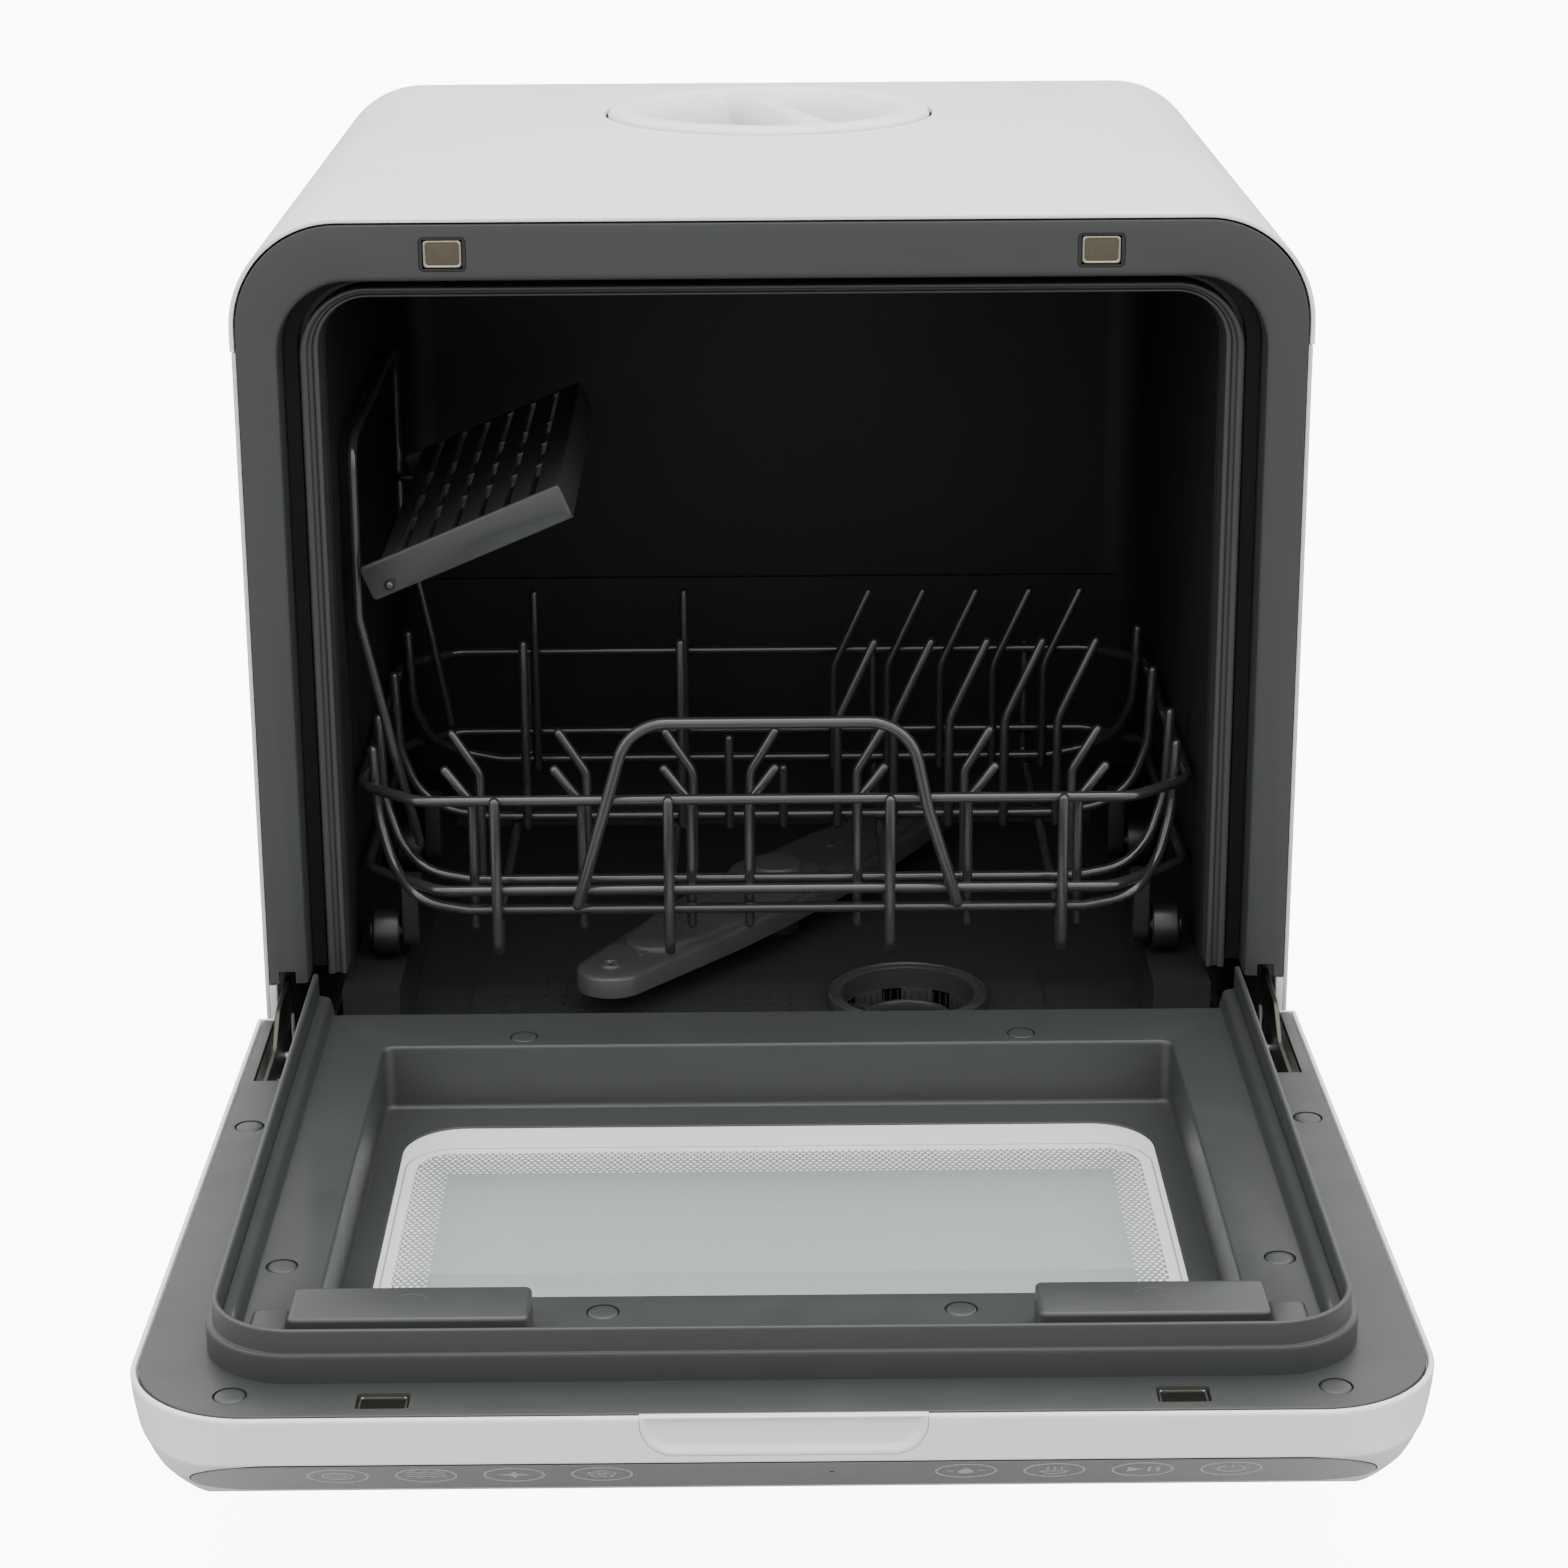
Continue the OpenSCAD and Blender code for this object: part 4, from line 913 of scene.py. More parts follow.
def ring2(M, cx, cz, r0, r1, y=-0.06, n=40, a0=0, a1=360, squash=1.0):
    """A thin printed ring or arc on the strip."""
    k = max(6, int(n * abs(a1 - a0) / 360))
    v, f = [], []
    for j in range(k + 1):
        a = radians(a0 + (a1 - a0) * j / k)
        for r in (r0, r1):
            v.append(on_strip((cx + r * cos(a), y, cz + r * sin(a) * squash)))
            v.append(on_strip((cx + r * cos(a), 0.02, cz + r * sin(a) * squash)))
    for j in range(k):
        a, b = j * 4, (j + 1) * 4
        f += [(a, b, b + 2, a + 2), (a + 2, b + 2, b + 3, a + 3), (a + 3, b + 3, b + 1, a + 1), (a + 1, b + 1, b, a)]
    if abs(a1 - a0) < 359.9:
        f += [(0, 2, 3, 1), (4 * k, 4 * k + 1, 4 * k + 3, 4 * k + 2)]
    M.add(v, f)


def poly2(M, pts, y=-0.06):
    k = len(pts)
    v = [on_strip((x, y, z)) for x, z in pts] + [on_strip((x, 0.02, z)) for x, z in pts]
    f = [tuple(range(k)), tuple(reversed(range(k, 2 * k)))] + [(i, (i + 1) % k, k + (i + 1) % k, k + i) for i in range(k)]
    M.add(v, f)


def bar2(M, x0, z0, x1, z1, w, y=-0.06):
    d = Vector((x1 - x0, z1 - z0)).normalized() * (w / 2)
    poly2(M, [(x0 + d.y, z0 - d.x), (x1 + d.y, z1 - d.x), (x1 - d.y, z1 + d.x), (x0 - d.y, z0 + d.x)], y)


M = Mesh()
ZB = -13.6
for cx in (-143.6, -115.2, -86.8, -58.6, 58.6, 87.1, 115.6, 144.2):
    ring2(M, cx, ZB, 9.3, 10.0, n=56)


def star2(cx, cz, r, k, inner=0.45):
    poly2(M, [(cx + (r if j % 2 == 0 else r * inner) * sin(pi * j / k), cz + (r if j % 2 == 0 else r * inner) * cos(pi * j / k)) for j in range(2 * k)])


def drop2(cx, cz, r):
    poly2(M, [(cx, cz + 2.1 * r)] + [(cx + r * cos(radians(a)), cz + r * sin(radians(a))) for a in range(30, -211, -20)])


# plate, waves, star, fan, arrows, glass, play and pause, power
ring2(M, -143.6, ZB, 4.6, 5.2, n=36)
ring2(M, -143.6, ZB, 2.5, 2.9, n=30)
for k in range(3):
    for j in range(3):
        ring2(M, -119.4 + 4.2 * j, ZB - 3.4 + 3.4 * k, 1.9, 2.4, n=24, a0=20, a1=160)
star2(-86.8, ZB, 5.2, 4, 0.32)
for k in range(5):
    a = radians(18 + 72 * k)
    ring2(M, -58.6 + 2.9 * cos(a), ZB + 2.9 * sin(a), 1.5, 2.1, n=20)
drop2(58.6, ZB - 1.2, 2.6)
bar2(M, 52.4, ZB, 54.6, ZB, 0.6)
bar2(M, 62.6, ZB, 64.8, ZB, 0.6)
ring2(M, 87.1, ZB - 1.5, 3.8, 4.4, n=30, a0=180, a1=360)
bar2(M, 82.4, ZB - 1.4, 91.8, ZB - 1.4, 0.6)
for k in (-2.2, 0, 2.2):
    bar2(M, 87.1 + k, ZB + 0.8, 87.1 + k, ZB + 4.4, 0.6)
poly2(M, [(110.6, ZB - 3.2), (110.6, ZB + 3.2), (115.6, ZB)])
bar2(M, 117.8, ZB - 3, 117.8, ZB + 3, 1.0)
bar2(M, 120.6, ZB - 3, 120.6, ZB + 3, 1.0)
ring2(M, 144.2, ZB, 4.0, 4.7, n=36, a0=120, a1=420)
bar2(M, 144.2, ZB + 1.2, 144.2, ZB + 5.2, 0.7)
M.build("strip_symbols", ICON, "door", (), "gloss_strip", angle=60)
M = Mesh()
ring2(M, 15.4, ZB + 0.8, 0.0001, 0.75, y=-0.04, n=18)
M.build("strip_sensor", DARK, "door", (), "black_plastic", angle=60)

# finger grip: a shallow dished insert with a raised lip
M = Mesh()


def gring(e, y, top=-0.3):
    pts = rrect(-46.0 + e, 46.0 - e, -14.2 + e, 20, 11.2 - e, n=10)
    return [(x, y, min(z, top)) for x, z in pts]


loops = [gring(0, -REACH + 2.4), gring(0, -REACH + 0.6)]
for t in range(1, 5):
    a = pi / 2 * t / 4
    loops.append(gring(0.6 * (1 - cos(a)), -REACH + 0.6 * (1 - sin(a)), -0.3 - 0.3 * (1 - cos(a))))
for e, d, t in ((1.15, 0.0, -0.75), (1.4, 0.06, -0.95), (1.65, 0.2, -1.15), (2.3, 0.72, -1.7), (2.95, 1.24, -2.3), (3.2, 1.42, -2.6), (3.5, 1.56, -2.9), (3.9, 1.62, -3.2), (6, 1.65, -5.0)):
    loops.append(gring(e, -REACH + d, t))
M.loft(loops, cap0=True, cap1=True)
M.build("grip_insert", WHITE, "door", ("door_handle",), "white_casing", angle=50)

# inner panel: flange, floor and window well in one skin
M = Mesh()
WY0, WY1 = -273, -52
params = [(210.8, -352.1, -15.8, 39.2, 0.6, -3.0), (210.8, -352.1, -15.8, 39.2, 0.6, -0.4), (186.2, -327.6, -18, 28, 0.6, -0.4), (186.2, -327.6, -18, 28, 0.6, 2.5),
          (156, WY0, WY1, 4.5, 4.5, 2.5), (156, WY0, WY1, 4.5, 4.5, -24), (146, -253.5, -71, 24, 24, -24), (146, -253.5, -71, 24, 24, -26),
          (158.2, -275.2, -49.8, 5, 5, -26), (158.2, -275.2, -49.8, 5, 5, -3.0)]
dist = [0.3, 0.6, 0, 0, 2.0, 2.2, 0.7, 0.3, 0.3, 0]
loops = []
for w, y0, y1, rf, rr_, z in soften(params, dist, n=4):
    loops.append([(taper(x, y) if w > 200 else x, y, z) for x, y in rrect(-w, w, y0, y1, max(rf, 0.3), max(rr_, 0.3), n=14)])
M.loft(loops, close_v=True)
panel = M.build("inner_panel", GREY, "door", ("door_inner",), "grey_panel", angle=40)
cuts = []
for sx in (-1, 1):
    a, b = sorted((sx * 192, sx * 204.3))
    cuts.append(box_cutter(a, b, -78.6, 5, -10, 5))
    c = Mesh()
    out = rrect(sx * 128.4 - 8.6, sx * 128.4 + 8.6, -347.2, -336.8, 1.0, n=4)
    c.loft([[(x, y, z) for x, y in out] for z in (-6, 4)], cap0=True, cap1=True)
    cuts.append(c)
CAPS = [(178, -337.5), (-178, -337.5), (200, -122.5), (-200, -122.5), (172, -249), (-172, -249), (60, -286), (-60, -286), (97, -42.5), (-101, -42.5)]


def cap_top(x):
    return -0.45 if abs(x) > 175 else 2.5


for x, y in CAPS:
    c = Mesh()
    lathe(c, [(5.65, cap_top(x) - 1.6), (5.65, 8)], x, y, n=36)
    cuts.append(c)
cut(panel, cuts, 40)

# rim: a stepped wall round three sides
M = Mesh()


def sweep_leaf(M, prof, n=16, mat=0):
    loops = []
    for w, y0, yb, r, z in prof:
        loops.append([(x, y, z) for x, y in leafline(w, y0, yb, r, n)])
    k, m = len(loops), len(loops[0])
    faces = []
    for j in range(k):
        a, b = j * m, ((j + 1) % k) * m
        for i in range(m - 1):
            faces.append((a + i, a + i + 1, b + i + 1, b + i))
    faces.append(tuple(j * m for j in range(k)))
    faces.append(tuple(j * m + m - 1 for j in reversed(range(k))))
    M.add([p for l in loops for p in l], faces, mat)


prof = [(190.6, -329.8, -11.5, 31.2, -0.8), (190.5, -329.8, -11.5, 31.2, 9.5), (188.2, -328.85, -11.5, 29.7, 9.7), (188, -328.8, -11.5, 29.6, 18),
        (185.8, -327.0, -11.5, 27.6, 18), (185.6, -326.9, -11.5, 27.4, -0.8)]
sweep_leaf(M, soften(prof, [0.3, 1.5, 0.5, 0.9, 0.9, 0.3], n=4))
# ledges along both sides inside the rim, falling away towards the floor
for sx in (-1, 1):
    sec = soften([(185.7, -0.5), (185.7, 9.3), (181.2, 8.4), (179.6, 2.0), (179.6, -0.5)], [0, 0.5, 1.4, 0.8, 0], n=4)
    loops = []
    for y, f in ((-13.5, 1.0), (-60, 1), (-160, 1), (-290, 1), (-300, 0.96), (-304, 0.5), (-305, 0.1)):
        loops.append([(sx * x, y, -0.5 + (z + 0.5) * f) for x, z in sec])
    M.loft(loops, cap0=True, cap1=True)
# raised blocks near the front
for x0, x1 in ((-162, -83), (84, 160)):
    rbox(M, x0, x1, -315, -291, 0, 15, b=1.3, r=2.5, n=3, k=5)
    cx = (x0 + x1) / 2
    tube(M, [(cx + 6 * cos(radians(a)), -303 + 6 * sin(radians(a)), 15.0) for a in range(10, 171, 10)], 0.5, r=2, sides=8)
for x0, x1 in ((-176, -163), (161, 174)):
    rbox(M, x0, x1, -316, -292, 0, 8.0, b=1.6, r=2.5, n=3, k=5)
M.build("inner_rim", GREY, "door", (), "grey_panel", angle=42)

# plugs over the door screws
M = Mesh()
for x, y in CAPS:
    t = cap_top(x)
    lathe(M, [(0.6, t - 1.5), (5.0, t - 1.5), (5.15, t - 1.2), (5.15, t - 0.5), (4.9, t - 0.12), (4.2, t + 0.06), (2.5, t + 0.14), (0.4, t + 0.18)], x, y, n=36)
M.build("screw_plugs", GREY, "door", ("screw_caps",), "cap_plastic", angle=50)

# strikes: nickel plates held in sunken slots
M = Mesh()
for sx in (-1, 1):
    cx = sx * 128.4
    rbox(M, cx - 10, cx + 10, -350, -334.6, -4.2, -3.0, b=0.2, r=0.6)
    out = rrect(cx - 8.1, cx + 8.1, -346.9, -337.2, 1.0, n=4)
    mid = (cx, -342.05)
    ring_ = lambda e, z, up=0.0: [(mid[0] + (x - mid[0]) * (1 - e / 8.1), mid[1] + up + (y - mid[1]) * (1 - e / 4.85), z) for x, y in out]
    M.loft([ring_(0.05, -3.1), ring_(0.05, -1.9), ring_(0.2, -1.5), ring_(0.55, -1.32, 0.12), ring_(0.85, -1.42, 0.42), ring_(0.95, -1.7, 0.5)], cap0=True, mat=0)
    # the plate's face takes the darker nickel colour: a painted dark reflection
    M.loft([ring_(0.95, -1.7, 0.5), ring_(1.4, -1.72, 0.5), ring_(3.2, -1.78, 0.4), ring_(4.3, -1.8, 0.3)], cap1=True, mat=1)
M.build("strike_plates", [NICKEL, NICKEL_DARK_REFLECTION], "door", ("door_strikes",), "nickel_plate", angle=45)

# window prints: a solid border, a band of dots that fades towards the middle, and a fine line, on the inner pane
M = Mesh()
ZL, ZG = -24.54, -24.45
DX, DN, DF = 138.9, -240.6, -95.1
n_ = 16


def flat_ring(outer, inner, z0, z1, mat):
    M.loft([[(x, y, z) for x, y in r_] for r_, z in ((outer, z0), (outer, z1), (inner, z1), (inner, z0))], close_v=True, mat=mat)


flat_ring(rrect(-145.4, 145.4, -252.9, -71.6, 23.4, n=n_), rrect(-DX, DX, DN, DF, 15, n=n_), ZL, ZG, 0)
flat_ring(rrect(-143.5, 143.5, -244.8, -90.4, 19, n=n_), rrect(-142.9, 142.9, -244.2, -91.0, 18.4, n=n_), ZG - 0.02, ZG + 0.02, 1)
step = 2.55
row = 0
y = DN + 1.2
while y <= DF:
    x = -DX + 0.4 + (step / 2 if row % 2 else 0)
    while x <= DX:
        # share of the band's width, which is greater at the far side
        d = min((DX - abs(x)) / 12.0, (y - DN) / 12.0, (DF - y) / 20.0)
        if abs(x) > DX - 15 and y > DF - 15:
            d = min(d, (15 - sqrt((abs(x) - DX + 15) ** 2 + (y - DF + 15) ** 2)) / 12.0)
        if abs(x) > DX - 15 and y < DN + 15:
            d = min(d, (15 - sqrt((abs(x) - DX + 15) ** 2 + (y - DN - 15) ** 2)) / 12.0)
        if 0.01 < d < 1.0:
            r = 1.04 * (1 - 0.4 * d)
            pts = [(x + r * cos(pi / 3 * j), y + r * sin(pi / 3 * j)) for j in range(6)]
            M.add([(u, v, ZG) for u, v in pts] + [(u, v, ZL) for u, v in pts],
                  [tuple(range(6)), tuple(reversed(range(6, 12)))] + [(j, 6 + j, 6 + (j + 1) % 6, (j + 1) % 6) for j in range(6)])
        x += step
    y += step * 0.866
    row += 1
M.build("window_prints", [PRINT, LINE], "door", (), "white_casing", angle=60)

# hinge arms: stamped plates with bright cut edges
M = Mesh()
prof = [(-77.6, -3.2), (-42, -3.2), (-26.5, 8), (1, 10.2), (9, 10.2), (13, 3), (9.5, -5.5), (-3, -8), (-8, -22), (-16.5, -26), (-27, -22), (-34, -15), (-77.6, -15)]
fine_prof = soften([(a, b) for a, b in prof], 2.2, n=3)
for sx in (-1, 1):
    loops = []
    cy = sum(a for a, b in fine_prof) / len(fine_prof)
    def inset(pts, d):
        out = []
        k = len(pts)
        for i in range(k):
            a, q, c = Vector(pts[i - 1]), Vector(pts[i]), Vector(pts[(i + 1) % k])
            e1, e2 = (q - a), (c - q)
            if e1.length < 1e-6:
                e1 = e2
            if e2.length < 1e-6:
                e2 = e1
            nn = (Vector((e1.y, -e1.x)).normalized() + Vector((e2.y, -e2.x)).normalized())
            nn.normalize()
            out.append(q - nn * -d * -1)
        return out
    area = sum(fine_prof[i - 1][0] * fine_prof[i][1] - fine_prof[i][0] * fine_prof[i - 1][1] for i in range(len(fine_prof)))
    sg = 1 if area > 0 else -1
    face_in = inset(fine_prof, 0.3 * sg)
    xa, xb = sx * 199.8, sx * 201.8
    L0 = [(xa, y, z) for y, z in face_in]
    L1 = [(xa + sx * 0.3, y, z) for y, z in fine_prof]
    L2 = [(xb - sx * 0.3, y, z) for y, z in fine_prof]
    L3 = [(xb, y, z) for y, z in face_in]
    M.loft([L0, L1], cap0=True, mat=0)
    M.loft([L1, L2], mat=1)
    M.loft([L2, L3], cap1=True, mat=0)
M.build("hinge_plates", [BSTEEL, EDGE], "door", ("hinge_arms",), "black_steel", angle=30)

# ---------------------------------------------------------------- rack

RF, RB, D = 25.0, 245.0, 4.5
RHW = 172.0


def rim_path(z, fx, fy):
    return [(-fx, RF, z), (fx, RF, z), (RHW, fy, z), (RHW, RB - 22, z), (RHW - 24, RB, z), (-RHW + 24, RB, z), (-RHW, RB - 22, z), (-RHW, fy, z)]


M = Mesh()
tube(M, rim_path(79, 146, 47), D, r=16, closed=True, sides=16)
tube(M, rim_path(40, 139, 56), D, r=16, closed=True, sides=16)
M.build("rim_wires", WIRE, "rack", ("rack_rims",), "coated_wire", angle=80)

M = Mesh()
hx = RHW - D + 0.1
HOOPS = [29.6, 66, 150, 237]
for y, yt, zt in ((HOOPS[0], 55, 94), (HOOPS[1], 80, 100), (HOOPS[2], HOOPS[2], 98), (HOOPS[3] - 3, HOOPS[3] - 20, 98)):
    pts = [(-hx, yt, zt), (-hx + 1.5, yt, 62), (-hx + 8, y + (yt - y) * 0.6, 44), (-148, y, 34), (-128, y, 30)]
    pts += [(-x, yy, z) for x, yy, z in reversed(pts)]
    tube(M, pts, D, r=26, sides=16)
M.build("hoop_wires", WIRE, "rack", ("rack_hoops",), "coated_wire", angle=80)

M = Mesh()
for x in (-115, -44, 47, 118):
    tube(M, [(x, RF - D, 82), (x, RF - D, 18), (x, RF - D + 2.5, 13.6), (x, RF + 2.5, 13.4), (x, RF + 7, 25.6), (x, RB + D - 0.4, 25.6), (x, RB + D - 0.4, 82)], D, r=4.2, sides=16)
M.build("runner_wires", WIRE, "rack", ("rack_runners",), "coated_wire", angle=80)

M = Mesh()
for i, x in enumerate((-125, -80, -35, -11, 34, 79.5, 125)):
    s_ = -1 if i < 3 else 1
    y = HOOPS[0] + D - 0.3
    tube(M, [(x, y, 19.6), (x, y, 75), (x + s_ * 12, y, 91)], 4.1, r=9, sides=16)
    y = HOOPS[1] + D - 0.3
    tube(M, [(x + 0.5, y, 24.6), (x + 0.5, y, 76), (x + s_ * 12, y, 95.5)], 4.1, r=9, sides=16)
for x in (28, 53, 77.5, 102, 125.5):
    for y in (150, 234):
        tube(M, [(x, y - D + 0.3, 24.6), (x, y - D + 0.3, 75), (x + 17, y - D + 0.3, 112.5)], 4.1, r=16, sides=16)
for x in (-110, -41):
    for y in (150, 234):
        tube(M, [(x, y - D + 0.3, 24.6), (x, y - D + 0.3, 113)], 4.1, sides=16)
tube(M, [(-20, 150 - D + 0.3, 24.6), (-20, 150 - D + 0.3, 69)], 4.1, sides=16)
tube(M, [(4, 150 - D + 0.3, 24.6), (4, 150 - D + 0.3, 55)], 4.1, sides=16)
M.build("tine_wires", WIRE, "rack", ("rack_tines",), "coated_wire", angle=80)

M = Mesh()
tube(M, [(-82.3, RF - 4.6, 33), (-68.4, RF - 4.6, 82), (-59.5, RF - 4.6, 113.2), (54.8, RF - 4.6, 113.2), (62.4, RF - 4.6, 76), (75.3, RF - 4.6, 33)], 5.0, r=21, sides=18, n=10)
M.build("handle_wire", WIRE, "rack", ("rack_handle",), "coated_wire", angle=80)

M = Mesh()
lx = -170.3
tube(M, [(-150, 66, 46), (-158, 53, 90), (lx, 50, 150), (lx, 50, 225), (lx, 235, 225), (lx, 235, 150), (-158, 233, 90), (-150, 233, 46)], 4.2, r=13, sides=16)
for y in (56, 229):
    yy = 235 if y > 100 else 50
    tube(M, [(lx, yy, 166.5), (lx + 0.2, y, 166.5), (-156.6, y, 166.5)], 3.7, r=4, sides=14)
tube(M, [(-156, 37, 167), (-156, 243, 167)], 4.4, sides=16)
M.build("bracket_wire", WIRE, "rack", ("shelf_bracket",), "coated_wire", angle=80)

# wheel carriers: clips on the wire with an axle stub, and ribbed wheels
M = Mesh()
for sx in (-1, 1):
    for y in (45, 154):
        lathe(M, [(0.5, sx * 150), (3.0, sx * 150), (3.0, sx * 169), (4.3, sx * 169), (4.6, sx * 169.4), (4.6, sx * 170.1), (4.1, sx * 170.6), (0.5, sx * 170.6)], y, 14.8, n=28, axis="x")
        a, b = sorted((sx * 149, sx * 156.5))
        sec = rrect(y - 7, y + 7, 8.8, 39.5, 6.6, 2.5, n=6)
        loops = []
        for e, x in ((0.8, a), (0.15, a + 0.5), (0, a + 1.0), (0, b - 1.0), (0.15, b - 0.5), (0.8, b)):
            cy, cz = y, 24.15
            loops.append([(x, cy + (u - cy) * (1 - e / 7), cz + (v - cz) * (1 - e / 15)) for u, v in sec])
        M.loft(loops, cap0=True, cap1=True)
        a, b = sorted((sx * 148.2, sx * 157.2))
M.build("wheel_clips", CLIP, "rack", ("wheel_carriers",), "grey_moulding", angle=45)

for fb, y in (("front", 45), ("rear", 154)):
    for lr, sx in (("left", -1), ("right", 1)):
        M = Mesh()
        x = lambda v: sx * (157.6 + v)
        lathe(M, [(3.06, x(0.2)), (4.4, x(0)), (5.0, x(0)), (5.2, x(1.6)), (8.1, x(1.6)), (8.5, x(0.2)), (9.3, x(0)), (9.85, x(0.5)), (10, x(1.2)),
                  (10, x(9.8)), (9.85, x(10.5)), (9.3, x(11)), (8.6, x(10.8)), (8.2, x(9.4)), (5.2, x(9.4)), (5.0, x(10.6)), (4.4, x(11)), (3.06, x(10.8))],
              y, 14.8, n=48, axis="x", closed=True)
        for j in range(6):
            a = pi / 3 * j
            def tf(q, a=a):
                u, v = q[1], q[2]
                return (q[0], y + u * cos(a) - v * sin(a), 14.8 + u * sin(a) + v * cos(a))
            for v0, v1 in ((0.5, 2.2), (8.8, 10.5)):
                xa, xb = sorted((x(v0), x(v1)))
                rbox(M, xa, xb, 4.9, 8.5, -0.6, 0.6, b=0.2, tf=tf)
        M.build("wheel_%s_%s_tread" % (fb, lr), WHEEL, "wheel_%s_%s" % (fb, lr), ("wheel_%s_%s" % (fb, lr),), "wheel_plastic", angle=35)

# cup shelf: a tray of slats with turned-up ends, tilted about its pivot
TA = radians(22.8)


def on_shelf(p):
    x, y, z = p
    return (-156 + x * cos(TA) - z * sin(TA), y, 167 + x * sin(TA) + z * cos(TA))


M = Mesh()
for y0 in (40, 237.4):
    sec = soften([(-8.8, -4), (80, -4), (80, 11), (-8.8, 11)], [2.2, 2.6, 1.6, 2.2], n=5)
    loops = []
    for e, y in ((0.5, y0), (0.12, y0 + 0.3), (0, y0 + 0.7), (0, y0 + 1.9), (0.12, y0 + 2.3), (0.5, y0 + 2.6)):
        loops.append([on_shelf((35.6 + (u - 35.6) * (1 - e / 44), y, 3.5 + (v - 3.5) * (1 - e / 7.5))) for u, v in sec])
    M.loft(loops, cap0=True, cap1=True)
rbox(M, 77.4, 80, 40.5, 239.5, -4, 11, b=0.5, r=1.0, n=2, tf=on_shelf)
for i in range(7):
    x0 = 1 + i * 11.4
    loops = []
    sec = soften([(x0, 8.6), (x0 + 8.4, 8.6), (x0 + 8.4, 10.9), (x0, 10.9)], 0.6, n=3)
    for y in (41, 239):
        loops.append([on_shelf((u, y, v)) for u, v in sec])
    M.loft(loops, cap0=True, cap1=True)
for y in (98, 138, 180):
    rbox(M, 1, 79, y, y + 2.4, 6, 10.4, b=0.4, tf=on_shelf)
M.build("shelf_moulding", GREYM, "shelf", ("cup_shelf",), "grey_moulding", angle=40)

# ---------------------------------------------------------------- washing parts

# spray arm: two stepped blades with rounded tips, jets and a raised hub
M = Mesh()
AT = radians(-123.8)


def arm_outline(pts, tip, r, n=18):
    """Half outline from the hub to the tip; mirrored for the other half."""
    left = []
    side = [(x, y) for x, y in pts]
    tipc = [(tip + r * cos(radians(a)), r * sin(radians(a))) for a in range(90, -91, -10)]
    half = side + tipc + [(x, -y) for x, y in reversed(side)]
    return half


def blade_loops(M, side, tip, r, z0, z1, b, dome):
    for rot in (AT, AT + pi):
        base = arm_outline(side, tip, r)
        loops = []
        for e, z in ((0, z0), (0, z1 - b), (0.3 * b, z1 - 0.35 * b), (b, z1), (b * 3.0, z1 + dome * 0.6), (b * 5.0, z1 + dome)):
            l = []
            for x, y in base:
                f = max(0.0, 1 - e / max(1e-3, abs(r)))
                xx = x if x < tip * 0.4 else tip + (x - tip) * f if x > tip else x
                l.append((xx * cos(rot) - y * f * sin(rot), 153 + xx * sin(rot) + y * f * cos(rot), z))
            loops.append(l)
        M.loft(loops, cap0=True, cap1=True)


blade_loops(M, [(0, 23.6), (30, 23.2), (60, 21.8), (95, 18.2)], 125, 15, -12, -3, 1.4, 0.5)
blade_loops(M, [(0, 21.5), (30, 21), (60, 19), (80, 16)], 92, 14, -4, -0.3, 1.2, 0.3)
lathe(M, [(8, -12.5), (21, -12.5), (21.6, -11), (21.4, 0.5), (20.4, 2.0), (18, 2.5), (12.6, 2.9), (12.2, 5.4), (11.2, 6.4), (4, 6.5), (0.5, 6.5)], 0, 153, n=56)
for rot in (AT, AT + pi):
    for x, y in ((126, 0),):
        cx, cy = x * cos(rot), 153 + x * sin(rot)
        lathe(M, [(4.6, -3.2), (4.6, -1.9), (4.1, -1.3), (3.4, -1.3), (3.0, -1.9), (2.4, -3.0), (0.3, -3.0)], cx, cy, n=28)
        for j in range(5):
            a = 2 * pi * j / 5
            def tf(q, a=a, cx=cx, cy=cy):
                return (cx + q[0] * cos(a) - q[1] * sin(a), cy + q[0] * sin(a) + q[1] * cos(a), q[2])
            rbox(M, 1.0, 3.2, -0.45, 0.45, -3.2, -1.6, b=0.15, tf=tf)
    for x, y in ((52, 0), (76, -2), (103, 3)):
        cx, cy = x * cos(rot) - y * sin(rot), 153 + x * sin(rot) + y * cos(rot)
        z = 0.1 if x < 95 else -2.6
        def tf(q, a=rot, cx=cx, cy=cy):
            return (cx + q[0] * cos(a) - q[1] * sin(a), cy + q[0] * sin(a) + q[1] * cos(a), q[2])
        for (a0, b0, a1, b1) in ((-6, -1.9, 6, -1.0), (-6, 1.0, 6, 1.9), (-6.6, -1.9, -5.6, 1.9), (5.6, -1.9, 6.6, 1.9)):
            rbox(M, a0, a1, b0, b1, z - 1, z + 0.9, b=0.25, tf=tf)
arm = M.build("spray_moulding", ARM, "spray_arm", ("spray_arm",), "grey_moulding", angle=42)

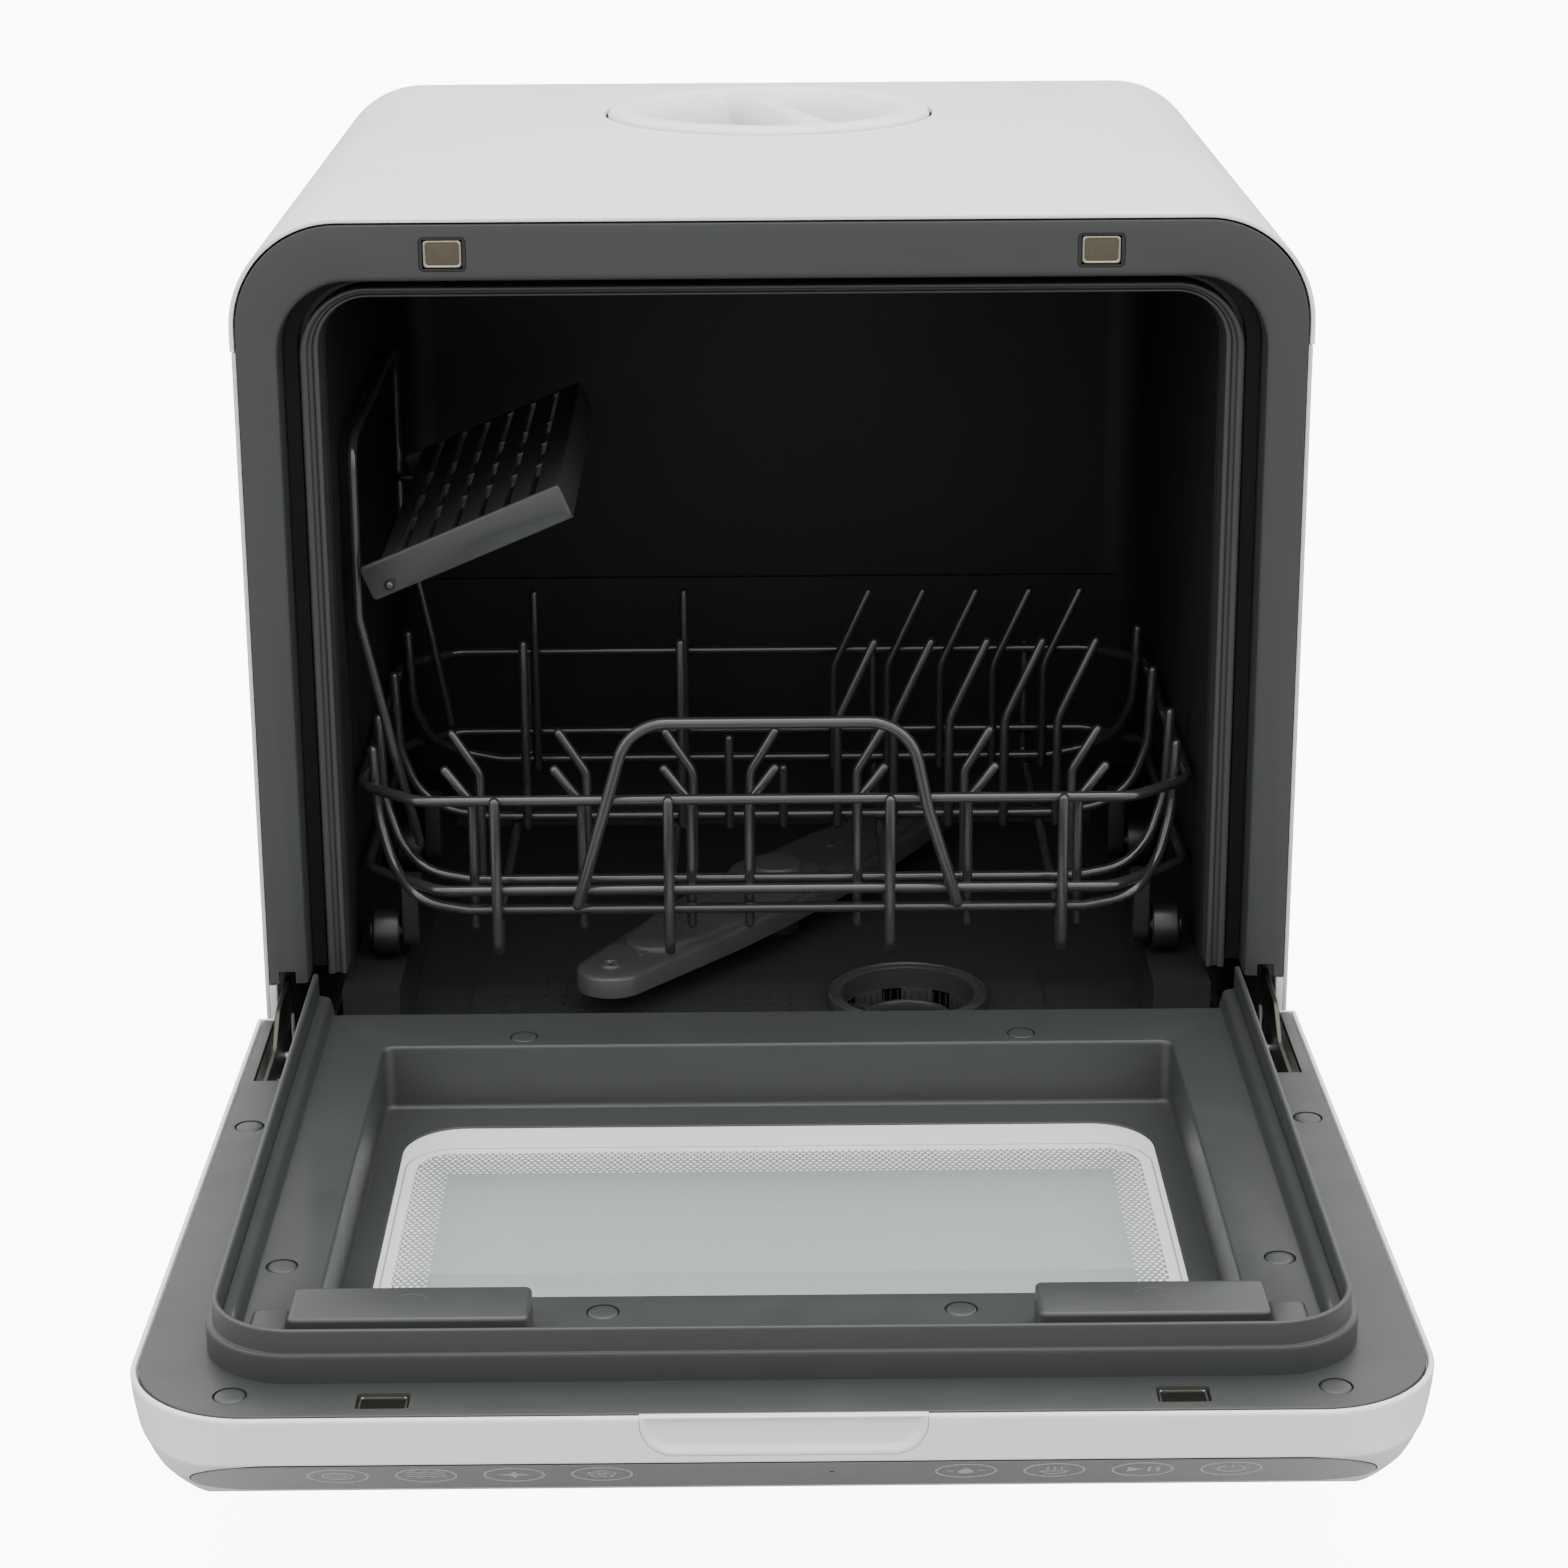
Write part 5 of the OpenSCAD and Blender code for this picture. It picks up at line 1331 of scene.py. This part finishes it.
# filter cup: flanged basket with windows and a ring handle
M = Mesh()
FX, FY = 56, 57
lathe(M, [(28.4, -19.2), (29.2, -18.4), (30.6, -18.2), (31.0, -18.9), (32.2, -19.2), (33.2, -18.2), (34, -18.9), (34, -22.6), (33.4, -23.2), (30, -23.2),
          (30, -28.4), (28.4, -28.4)], FX, FY, n=96, closed=True)
lathe(M, [(28.4, -44.6), (30, -44.6), (30, -49.4), (28.4, -49.4)], FX, FY, n=96, closed=True)
lathe(M, [(28.4, -66.4), (30, -66.4), (30, -73.6), (29.4, -74), (0.5, -74), (0.5, -72.5), (28.4, -72.5)], FX, FY, n=96, closed=True)
for j in range(8):
    a = radians(j * 45 + 12 + 22.5)
    def tf(q, a=a):
        u = q[0] / 29.2
        r = 29.2 + q[1]
        return (FX + r * cos(a + u), FY + r * sin(a + u), q[2])
    prism(M, [(x, y) for x in (-7.0, -3.5, 0, 3.5, 7.0) for y in (-0.78,)] + [(x, 0.78) for x in (7.0, 3.5, 0, -3.5, -7.0)], -67, -27.6, b=0.15, tf=tf)
# fine mesh of rods behind the windows
for j in range(56):
    a = 2 * pi * j / 56
    tube(M, [(FX + 28.0 * cos(a), FY + 28.0 * sin(a), -29), (FX + 28.0 * cos(a), FY + 28.0 * sin(a), -67)], 0.55, sides=6)
# inner ring used to lift the basket
lathe(M, [(17.6, -36), (19.4, -36), (19.8, -35.2), (19.8, -30.8), (19.2, -30), (17.8, -30), (17.3, -30.8), (17.3, -35.2)], FX, FY, n=64, closed=True)
for a in (radians(20), radians(140), radians(260)):
    def tf(q, a=a):
        return (FX + q[0] * cos(a) - q[1] * sin(a), FY + q[0] * sin(a) + q[1] * cos(a), q[2])
    rbox(M, 19, 28.8, -1.6, 1.6, -36, -31, b=0.4, tf=tf)
M.build("filter_basket", GREYM, "filter", ("filter_cup",), "grey_moulding", angle=40)

# ---------------------------------------------------------------- stage, light and camera

floor_me = bpy.data.meshes.new("floor")
floor_me.from_pydata([(-6, -6, 0), (6, -6, 0), (6, 6, 0), (-6, 6, 0)], [], [(0, 1, 2, 3)])
floor = bpy.data.objects.new("floor", floor_me)
bpy.context.scene.collection.objects.link(floor)
fm = bpy.data.materials.new("stage_floor")
fm.use_nodes = True
FN, FL = fm.node_tree.nodes, fm.node_tree.links
fb = FN["Principled BSDF"]
fb.inputs["Base Color"].default_value = (0.36, 0.36, 0.357, 1)
fb.inputs["Roughness"].default_value = 0.9
fb.inputs["Specular IOR Level"].default_value = 0.1
seen = FN.new("ShaderNodeLightPath")
clear = FN.new("ShaderNodeMath")
clear.operation = "LESS_THAN"
clear.inputs[1].default_value = 0.5
FL.new(seen.outputs["Transparent Depth"], clear.inputs[0])
both = FN.new("ShaderNodeMath")
both.operation = "MULTIPLY"
FL.new(seen.outputs["Is Camera Ray"], both.inputs[0])
FL.new(clear.outputs["Value"], both.inputs[1])
pale = FN.new("ShaderNodeBsdfDiffuse")
pale.inputs["Color"].default_value = (0.97, 0.97, 0.965, 1)
glow = FN.new("ShaderNodeEmission")
glow.inputs["Color"].default_value = (1, 1, 0.995, 1)
glow.inputs["Strength"].default_value = 9.0
plus = FN.new("ShaderNodeAddShader")
FL.new(pale.outputs[0], plus.inputs[0])
FL.new(glow.outputs[0], plus.inputs[1])
pick = FN.new("ShaderNodeMixShader")
FL.new(both.outputs["Value"], pick.inputs[0])
FL.new(fb.outputs[0], pick.inputs[1])
FL.new(plus.outputs[0], pick.inputs[2])
FL.new(pick.outputs[0], FN["Material Output"].inputs["Surface"])
floor_me.materials.append(fm)

world = bpy.data.worlds.new("studio")
bpy.context.scene.world = world
world.use_nodes = True
WN, WL = world.node_tree.nodes, world.node_tree.links
wb = WN["Background"]
# soft light from overhead that falls off towards the horizon
wt = WN.new("ShaderNodeTexCoord")
ws = WN.new("ShaderNodeSeparateXYZ")
WL.new(wt.outputs["Generated"], ws.inputs[0])
wr = WN.new("ShaderNodeMapRange")
wr.inputs["From Min"].default_value = -0.05
wr.inputs["From Max"].default_value = 0.9
wr.inputs["To Min"].default_value = 0.8
wr.inputs["To Max"].default_value = 2.7
WL.new(ws.outputs["Z"], wr.inputs["Value"])
WL.new(wr.outputs["Result"], wb.inputs["Strength"])
wb.inputs["Color"].default_value = (1, 1, 0.995, 1)
back = WN.new("ShaderNodeBackground")
back.inputs["Color"].default_value = (1, 1, 0.995, 1)
back.inputs["Strength"].default_value = 11.0
wl = WN.new("ShaderNodeLightPath")
wm = WN.new("ShaderNodeMixShader")
WL.new(wl.outputs["Is Camera Ray"], wm.inputs[0])
WL.new(wb.outputs[0], wm.inputs[1])
WL.new(back.outputs[0], wm.inputs[2])
WL.new(wm.outputs[0], WN["World Output"].inputs["Surface"])


def area(name, loc, target, size, power, size_y=None, color=(1, 1, 1)):
    l = bpy.data.lights.new(name, "AREA")
    l.energy = power
    l.color = color
    l.shape = "RECTANGLE"
    l.size = size
    l.size_y = size_y or size
    o = bpy.data.objects.new(name, l)
    bpy.context.scene.collection.objects.link(o)
    o.location = loc
    o.rotation_euler = (Vector(target) - Vector(loc)).to_track_quat("-Z", "Y").to_euler()
    return o


area("key_top", (0.1, 0.05, 1.9), (0, 0.05, 0.2), 1.6, 14, 1.2)
area("fill_left", (-1.7, -0.9, 0.9), (0, 0, 0.2), 0.9, 5, 1.4)
area("fill_right", (1.7, -0.9, 0.9), (0, 0, 0.2), 0.9, 5, 1.4)

cam = bpy.data.cameras.new("camera")
cam.lens = 83.23
cam.sensor_width = 36
cam.sensor_fit = "AUTO"
cam.clip_start = 0.05
cam.clip_end = 50
co = bpy.data.objects.new("camera", cam)
bpy.context.scene.collection.objects.link(co)
right = Vector((0.99995282, -0.00792934, -0.00561178))
up = Vector((0.00781636, 0.31373722, 0.94947768))
fwd = Vector((0.00576811, 0.94947674, -0.3137844))
R = Matrix((right, up, -fwd)).transposed()
co.matrix_world = Matrix.Translation((-0.005007, -1.401356, 0.663518)) @ R.to_4x4()
bpy.context.scene.camera = co
